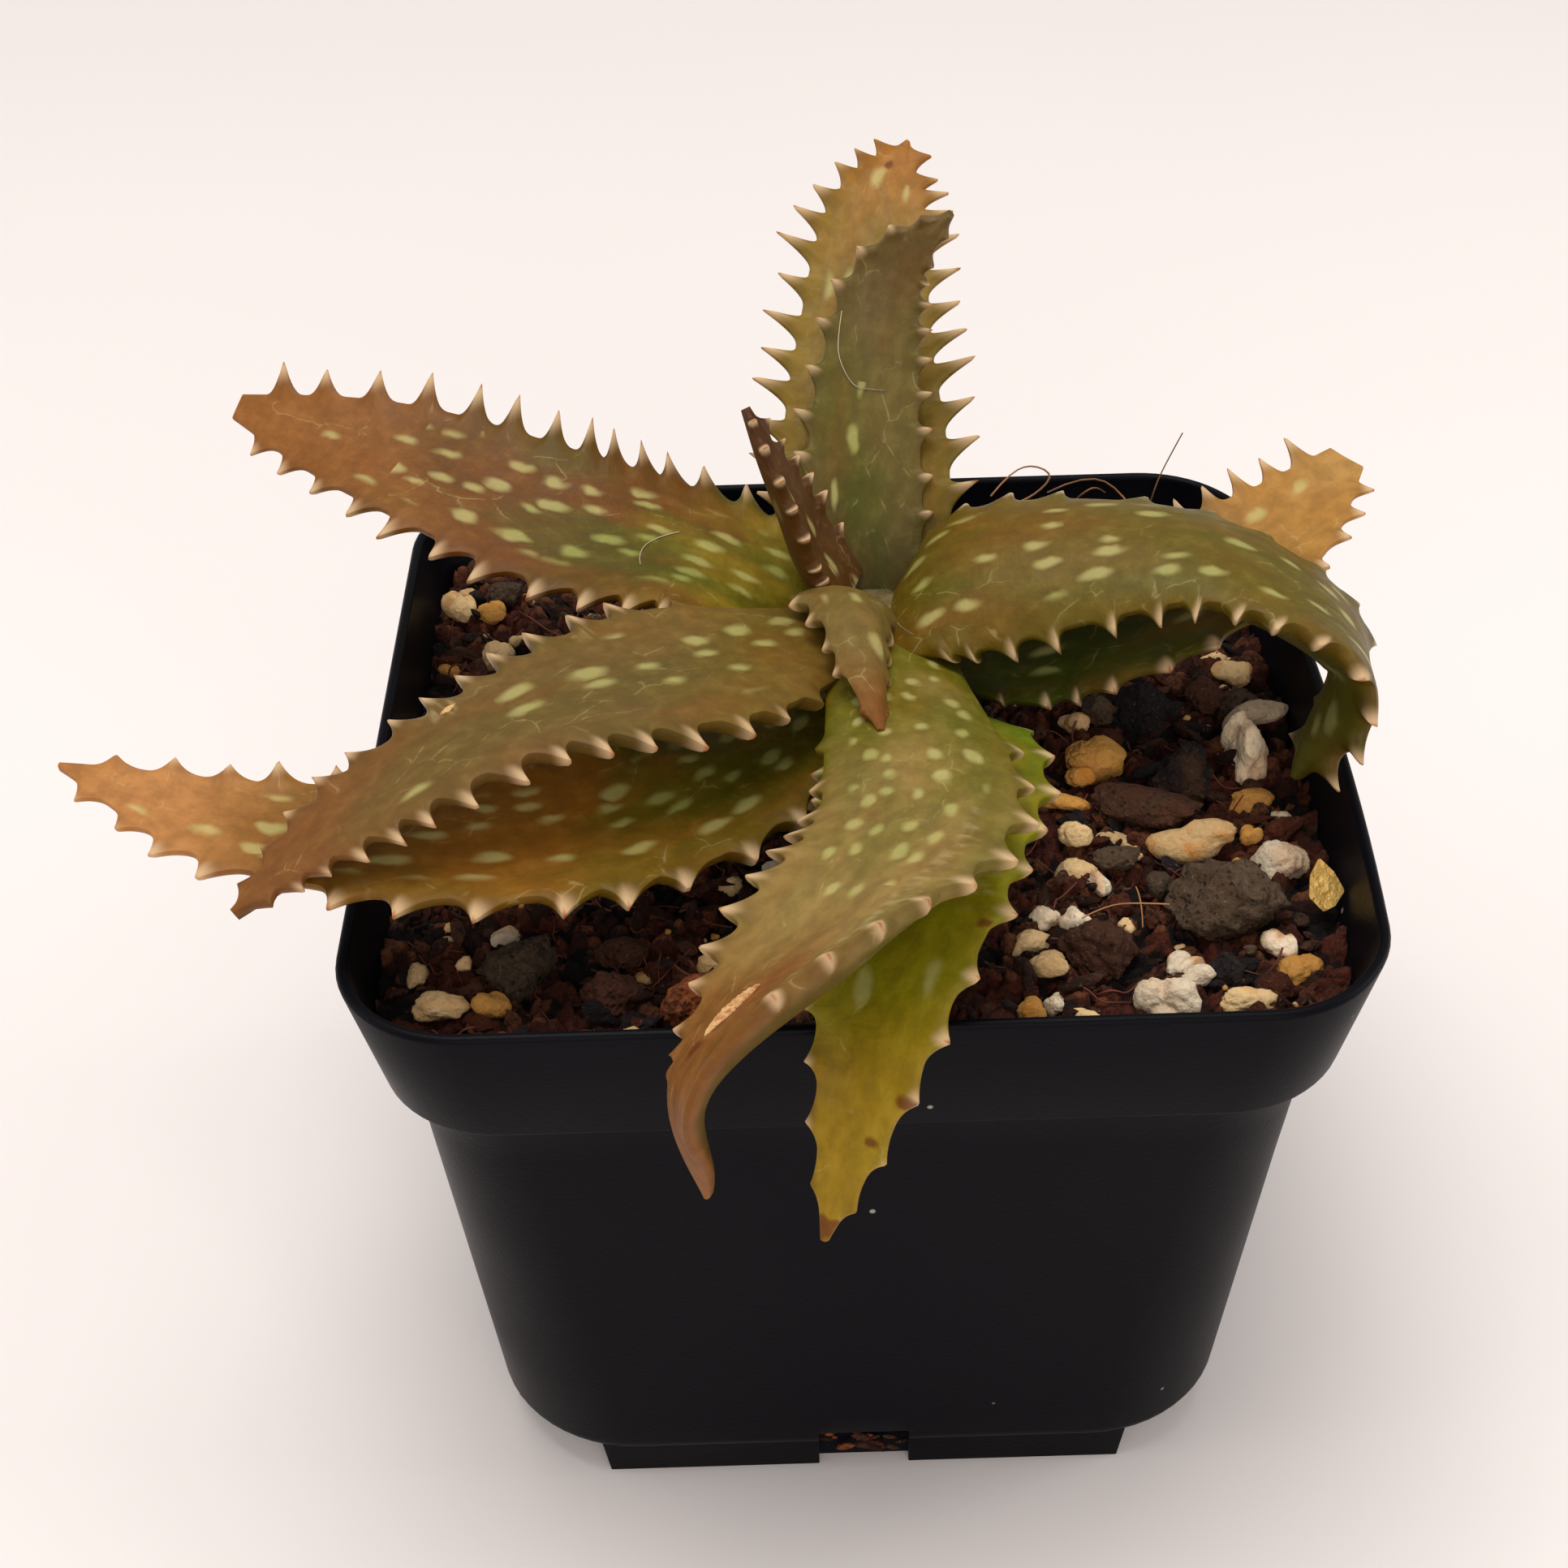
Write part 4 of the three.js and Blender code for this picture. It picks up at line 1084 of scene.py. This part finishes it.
def roundedLump(detail, seed):            # a few rounded lobes grown together, as pumice grains are
    look = lumpLook
    draw = random.Random(seed)
    lobes = [(Vector((0, 0, 0)), look["core"])]
    for _ in range(draw.randint(*look["lobes"])):
        away = Vector([draw.uniform(-most, most) for most in (1, look["lobeWidth"], look["lobeHeight"])])
        lobes.append((away.normalized() * draw.uniform(*look["lobeAt"]), draw.uniform(*look["lobeSize"])))
    breaks = flatBreaks(draw, look["breaks"], *look["breakAt"])
    shift = Vector((seed * 3.7, seed * 1.9, seed * 2.3))
    lump = startStone(detail)
    for vert in lump.data.vertices:
        way = vert.co.normalized()
        reaches = []
        for middle, radius in lobes:
            ahead = way.dot(middle)
            inside = radius ** 2 - middle.length_squared + ahead ** 2
            if inside > 0:
                reaches.append(ahead + math.sqrt(inside))
        reach = math.log(sum(math.exp(look["blend"] * r) for r in reaches)) / look["blend"]
        waves = look["waves"] * noise.fractal(way * 2.4 + shift, 0.9, 2.0, 3)
        reach += waves + look["grain"] * noise.noise(way * 7 + shift)
        vert.co = breakAway(way * reach, breaks, look["taken"])
    return fitToUnit(lump)


def brokenRock(detail, seed, facets=9, pits=0.1, rugged=0.07):         # flat breaks and pits, as in lava
    look = rockLook
    breaks = flatBreaks(random.Random(seed), facets, *look["breakAt"])
    shift = Vector((seed * 2.9, seed * 4.1, seed * 1.3))
    rock = startStone(detail)
    for vert in rock.data.vertices:
        co = breakAway(vert.co.copy(), breaks, look["taken"])
        toPit = noise.voronoi(co * look["pitScale"] + shift)[0][0]
        rough = noise.fractal(co * 3.0 + shift, 0.7, 2.1, 4)
        co *= 1 + rugged * rough - pits * max(0, look["pitSize"] - toPit) * look["pitDepth"]
        vert.co = co
    return fitToUnit(rock)


def startStone(detail):
    clearSelection()
    bpy.ops.mesh.primitive_ico_sphere_add(subdivisions=detail, radius=1)
    return bpy.context.object


def fitToUnit(stone):                     # half sizes of one along each axis
    points = pointsOf(stone.data)
    low, high = points.min(axis=0), points.max(axis=0)
    setPoints(stone.data, (points - (low + high) / 2) / ((high - low) / 2))
    return stone


def setStone(shape, at, halfSizes, turn, colour, rng, tilt=0.25):
    twin = shape.copy()
    twin.data = shape.data.copy()
    bpy.context.scene.collection.objects.link(twin)
    lean = Euler((rng.uniform(-tilt, tilt), rng.uniform(-tilt, tilt), math.radians(turn)))
    stretch = Matrix.Diagonal((*[h * mm for h in halfSizes], 1))
    twin.matrix_world = Matrix.Translation(place(*at)) @ lean.to_matrix().to_4x4() @ stretch
    shade = rng.uniform(*stoneLook["shade"])
    own = paint(*[c * shade for c in stoneColours[colour]])
    count = len(twin.data.vertices)
    addAttribute(twin.data, "ownColour", np.tile(own[:3], (count, 1)))
    addAttribute(twin.data, "ownDraw", np.tile([rng.random(), rng.random(), 0], (count, 1)))
    return twin


def scatterStones(pumiceMaterial, lavaMaterial):
    look = stoneLook
    rng = random.Random(look["seed"])
    coarse, medium, small = look["details"]
    seeds = range(1, look["variants"] + 1)
    lumps = {detail: [roundedLump(detail, seed) for seed in seeds] for detail in look["details"]}
    rocks = {detail: [brokenRock(detail, seed, 11, 0.15, 0.13) for seed in seeds]
             for detail in look["details"]}
    limit = mixLook["half"] - look["edgeRoom"]
    taken = [(at[0], at[1], max(half[:2])) for _, at, half, _ in largeStones]
    pumice, lava = [], []

    def put(x, y, halfSizes, turn, colour, detail, tilt=0.25, sink=look["sink"]):
        isPumice = colour in pumiceKinds
        shape = rng.choice((lumps if isPumice else rocks)[detail])
        x, y = roundedPlace(max(-limit, min(limit, x)), max(-limit, min(limit, y)), limit, mixLook["corner"])
        z = groundHeight(x, y) + halfSizes[2] * (1 - 2 * sink)
        (pumice if isPumice else lava).append(setStone(shape, (x, y, z), halfSizes, turn, colour, rng, tilt))

    for x, y, width, height, turn, colour in nextStones:
        sizes = (width, height, min(width, height))
        halfSizes = [size / 2 * more for size, more in zip(sizes, look["nextStretch"])]
        put(x, y, halfSizes, turn, colour, coarse, 0.1)
        taken.append((x, y, max(width, height) / 2))
    for _ in range(look["smallCount"]):
        x, y = rng.uniform(-limit, limit), rng.uniform(-limit, limit)
        size = rng.choice(look["smallSizes"])
        if any(math.hypot(x - a, y - b) < r * 0.85 + size * 0.7 for a, b, r in taken):
            continue
        taken.append((x, y, size))
        colour = rng.choice(look["smallColours"])
        halfSizes = [size * rng.uniform(0.75, 1.25) for _ in range(2)] + [size * rng.uniform(0.6, 0.9)]
        put(x, y, halfSizes, rng.uniform(0, 360), colour, medium if size > 0.9 else small)
    for _ in range(look["chipCount"]):
        x, y = rng.uniform(-limit, limit), rng.uniform(-limit, limit)
        size = rng.uniform(*look["chipSize"])
        halfSizes = [size * rng.uniform(*share) for share in look["chipShape"]]
        colour = rng.choice(look["chipColours"])
        put(x, y, halfSizes, rng.uniform(0, 360), colour, small, 0.9, look["chipSink"])
    for shapes in (*lumps.values(), *rocks.values()):
        for shape in shapes:
            removePiece(shape)
    joinPieces(pumice, "pumiceGrains", pumiceMaterial)
    joinPieces(lava, "lavaAndBarkBits", lavaMaterial, 40)


def makeLargeStones(pumiceMaterial, lavaMaterial):
    rng = random.Random(stoneLook["seed"] + 1)
    for number, (node, at, halfSizes, colour) in enumerate(largeStones):
        isPumice = colour in pumiceKinds
        detail = stoneLook["largeDetail"]
        seed = number + 20
        shape = roundedLump(detail, seed) if isPumice else brokenRock(detail, seed, 14, 0.2, 0.17)
        stone = setStone(shape, at, halfSizes, rng.uniform(-20, 20), colour, rng, 0.08)
        removePiece(shape)
        name = "rock" + "".join(word.capitalize() for word in node.split("_")[1:])
        slot, material = ("pumice", pumiceMaterial) if isPumice else ("lava", lavaMaterial)
        finishPiece(stone, name, material, [node])


# A flake of golden mica that leans on the stones: middle, half sizes, lean forward and turn in degrees
flake = {"at": (42.2, -23.8, 63.6), "half": (1.75, 2.55, 0.09), "lean": 48, "turn": 14, "sides": 7,
         "radii": (1.0, 0.82, 1.05, 0.86, 1.0, 0.9, 0.78)}


def makeFlake():
    clearSelection()
    bpy.ops.mesh.primitive_cylinder_add(vertices=flake["sides"], radius=1, depth=2)
    sheet = bpy.context.object
    bpy.ops.object.mode_set(mode="EDIT")
    bpy.ops.mesh.select_all(action="SELECT")
    bpy.ops.mesh.bevel(offset=0.08, segments=2, affect="EDGES")
    bpy.ops.object.mode_set(mode="OBJECT")
    for vert in sheet.data.vertices:
        side = round(math.atan2(vert.co.y, vert.co.x) / (2 * math.pi) * flake["sides"]) % flake["sides"]
        vert.co.x *= flake["radii"][side]
        vert.co.y *= flake["radii"][side]
    turn = Euler((math.radians(flake["lean"]), 0, math.radians(flake["turn"])))
    stretch = Matrix.Diagonal((*[h * mm for h in flake["half"]], 1))
    sheet.matrix_world = Matrix.Translation(place(*flake["at"])) @ turn.to_matrix().to_4x4() @ stretch
    material, tree, shader = newMaterial("goldenMica")
    coords = objectCoords(tree)
    sheen = noiseOf(tree, coords, 900, 3)
    tone = mixColour(tree, sheen, paint(186, 136, 54), paint(232, 194, 112))
    setShader(tree, shader, {"Base Color": tone, "Metallic": 0.45, "Roughness": 0.38})
    addBump(tree, shader, sheen, 0.0004)
    return finishPiece(sheet, "micaFlake", material, (), 30)


def stoneMaterial(name, stain, roughness, relief, pitScale, grainScale, creviceShade, pitting):
    material, tree, shader = newMaterial(name)
    own = addNode(tree, "ShaderNodeAttribute", attribute_name="ownColour").outputs["Color"]
    _, draws = ownValues(tree, "ownDraw")
    coords = objectCoords(tree)
    broad = noiseOf(tree, coords, 330, 3)
    fine = noiseOf(tree, coords, grainScale, 5, 0.7)
    pits = addNode(tree, "ShaderNodeTexVoronoi", {"Vector": coords, "Scale": pitScale}).outputs["Distance"]
    stained = times(tree, rise(tree, broad, 0.46, 0.66), draws["X"])
    tone = mixColour(tree, times(tree, stained, 0.9), own, paint(*stain))
    # painted shade: darker brown in the low places of the grain, which the bump also lowers
    tone = mixColour(tree, rise(tree, fine, 0.3, 0.52, creviceShade, 0.0), tone, paint(58, 36, 24))
    # pale on the grain's high points: partly dust specks, partly a painted highlight
    tone = mixColour(tree, rise(tree, fine, 0.58, 0.8, 0.0, 0.3), tone, paint(232, 218, 196))
    # painted shade in the pits that the bump sinks
    tone = mixColour(tree, rise(tree, pits, 0.1, 0.26, pitting, 0.0), tone, paint(30, 20, 16))
    setShader(tree, shader, {"Base Color": tone, "Roughness": roughness, "Specular IOR Level": 0.2})
    craggy = noiseOf(tree, coords, 560, 4, 0.6)
    height = plus(tree, fine, times(tree, rise(tree, pits, 0.05, 0.4), pitting))
    height = plus(tree, height, times(tree, craggy, 2.2))
    addBump(tree, shader, height, relief)
    return material


def barkBedMaterial():
    material, tree, shader = newMaterial("barkBed")
    _, draws = ownValues(tree, "ownDraw")
    coords = objectCoords(tree)
    fine = noiseOf(tree, coords, 1500, 5, 0.7)
    tone = mixColour(tree, rise(tree, draws["X"], 0.35, 0.75), paint(20, 11, 8), paint(88, 38, 22))
    tone = mixColour(tree, rise(tree, draws["Y"], 0.6, 0.8, 0.0, 0.7), tone, paint(128, 76, 46))
    # painted shade: near black in the low places of the grain, which the bump also lowers
    tone = mixColour(tree, rise(tree, fine, 0.35, 0.6, 0.75, 0.0), tone, paint(14, 8, 6))
    setShader(tree, shader, {"Base Color": tone, "Roughness": 0.85, "Specular IOR Level": 0.25})
    addBump(tree, shader, fine, 0.0006)
    return material


print("mix and stones")
# the last two values: painted shade in the grain's low places, and pit depth with painted shade in the pits
pumiceSkin = stoneMaterial("pumiceGrain", (204, 132, 52), 0.85, 0.00026, 900, 1700, 0.24, 0.15)
lavaSkin = stoneMaterial("lavaAndBark", (86, 60, 42), 0.9, 0.0008, 1300, 1900, 0.65, 0.55)
makeMix(barkBedMaterial())
makeLargeStones(pumiceSkin, lavaSkin)
scatterStones(pumiceSkin, lavaSkin)
makeFlake()


# Fibres, root hairs and hairs on the leaves: thin tubes along bent paths

rootHairs = [                             # places along each, half thickness in mm
    ([(35.0, 41.5, 64.5), (35.6, 41.7, 67.4), (36.8, 42.0, 70.4), (38.3, 42.3, 73.6)], 0.09),
    ([(17.4, 39.6, 68.0), (19.6, 42.0, 69.4), (22.0, 42.2, 70.4), (24.4, 40.4, 70.0), (22.2, 38.6, 68.6),
      (19.6, 38.8, 67.2), (18.4, 40.0, 65.0)], 0.12),
    ([(23.6, 40.0, 68.0), (28.0, 41.6, 69.4), (32.0, 40.6, 67.6), (34.0, 39.0, 64.0)], 0.12),
    ([(26.5, 41.0, 66.0), (27.4, 39.4, 68.2), (29.0, 40.2, 68.6), (30.2, 42.0, 66.6)], 0.1),
    ([(19.8, -27.8, 64.2), (22.0, -27.2, 65.2), (25.0, -27.3, 65.4), (27.6, -27.4, 65.2)], 0.09),
    ([(25.0, -24.6, 65.0), (25.2, -27.0, 65.6), (24.9, -30.0, 64.8)], 0.07),
]
leafHairs = [                             # leaf, share of its length and place across along the hair
    ("leaf_back_inner", [(0.64, 0.93), (0.583, 0.85), (0.537, 0.73), (0.485, 0.35), (0.48, 0.05),
                         (0.482, -0.38)]),
    ("leaf_right_arching", [(0.06, -0.1), (0.07, -0.45), (0.11, -0.75), (0.15, -0.97)]),
    ("leaf_left_back", [(0.3, -0.2), (0.34, 0.0), (0.36, 0.3), (0.35, 0.5)]),
]
fibreLook = {
    "count": 260, "radius": (0.05, 0.13), "length": (2.5, 9.0), "points": 5, "wander": 0.8, "seed": 53,
}


def makeTubes(paths, name, material):
    curve = bpy.data.curves.new(name, "CURVE")
    curve.dimensions = "3D"
    curve.bevel_depth = mm
    curve.bevel_resolution = 0
    curve.resolution_u = 3
    curve.use_fill_caps = True
    for points, radius in paths:
        line = curve.splines.new("NURBS")
        line.points.add(len(points) - 1)
        for knot, at in zip(line.points, points):
            knot.co = (*place(*at), 1)
            knot.radius = radius
        line.use_endpoint_u = True
        line.order_u = 3
    tubes = bpy.data.objects.new(name, curve)
    bpy.context.scene.collection.objects.link(tubes)
    makeActive(tubes)
    bpy.ops.object.convert(target="MESH")
    return finishPiece(bpy.context.object, name, material)


def scatteredFibres():
    look = fibreLook
    rng = random.Random(look["seed"])
    limit = mixLook["half"] - 2
    paths = []
    for _ in range(look["count"]):
        x, y = rng.uniform(-limit, limit), rng.uniform(-limit, limit)
        heading = rng.uniform(0, 2 * math.pi)
        step = rng.uniform(*look["length"]) / look["points"]
        points = []
        for _ in range(look["points"]):
            x = max(-limit, min(limit, x + step * math.cos(heading)))
            y = max(-limit, min(limit, y + step * math.sin(heading)))
            heading += rng.uniform(-look["wander"], look["wander"])
            points.append((x, y, groundHeight(x, y) + rng.uniform(0.2, 1.5)))
        paths.append((points, rng.uniform(*look["radius"])))
    return paths


def hairsOnLeaves():
    paths = []
    for node, knots in leafHairs:
        rail = leafRail(leafOf[node], allAlong)
        t, v = np.array(knots, dtype=float).T
        paths.append(([tuple(p) for p in onLeaf(leafOf[node], rail, t, v, 0.12)], 0.05))
    return paths


def plainMaterial(name, colour):
    material, tree, shader = newMaterial(name)
    coords = objectCoords(tree)
    shade = noiseOf(tree, coords, 160, 2)
    dark = paint(*[c * 0.6 for c in colour])
    tone = mixColour(tree, rise(tree, shade, 0.35, 0.65), dark, paint(*colour))
    setShader(tree, shader, {"Base Color": tone, "Roughness": 0.7})
    return material


print("fibres and hairs")
makeTubes(scatteredFibres(), "coirFibres", plainMaterial("coirFibre", (112, 50, 28)))
makeTubes(rootHairs, "rootHairs", plainMaterial("rootHair", (176, 120, 70)))
makeTubes(hairsOnLeaves(), "paleHairs", plainMaterial("paleHair", (206, 190, 160)))


# Bits of bark that show in the front drain notch

notchBits = {
    "count": 26, "x": (-4.0, 4.0), "y": (-35.4, -34.4), "z": (1.2, 6.0), "size": (0.5, 1.3), "seed": 5,
}


def makeNotchBits(material):
    look = notchBits
    rng = random.Random(look["seed"])
    shape = brokenRock(2, 77)
    bits = []
    for _ in range(look["count"]):
        at = [rng.uniform(*look[axis]) for axis in "xyz"]
        length = rng.uniform(*look["size"])
        colour = rng.choice(("bark", "brown", "orange", "rust"))
        halfSizes = (length, length * 0.3, length * 0.35)
        bits.append(setStone(shape, at, halfSizes, rng.uniform(-15, 15), colour, rng, 0.5))
    removePiece(shape)
    joinPieces(bits, "notchBark", material, 40)


print("bark in the drain notch")
makeNotchBits(lavaSkin)
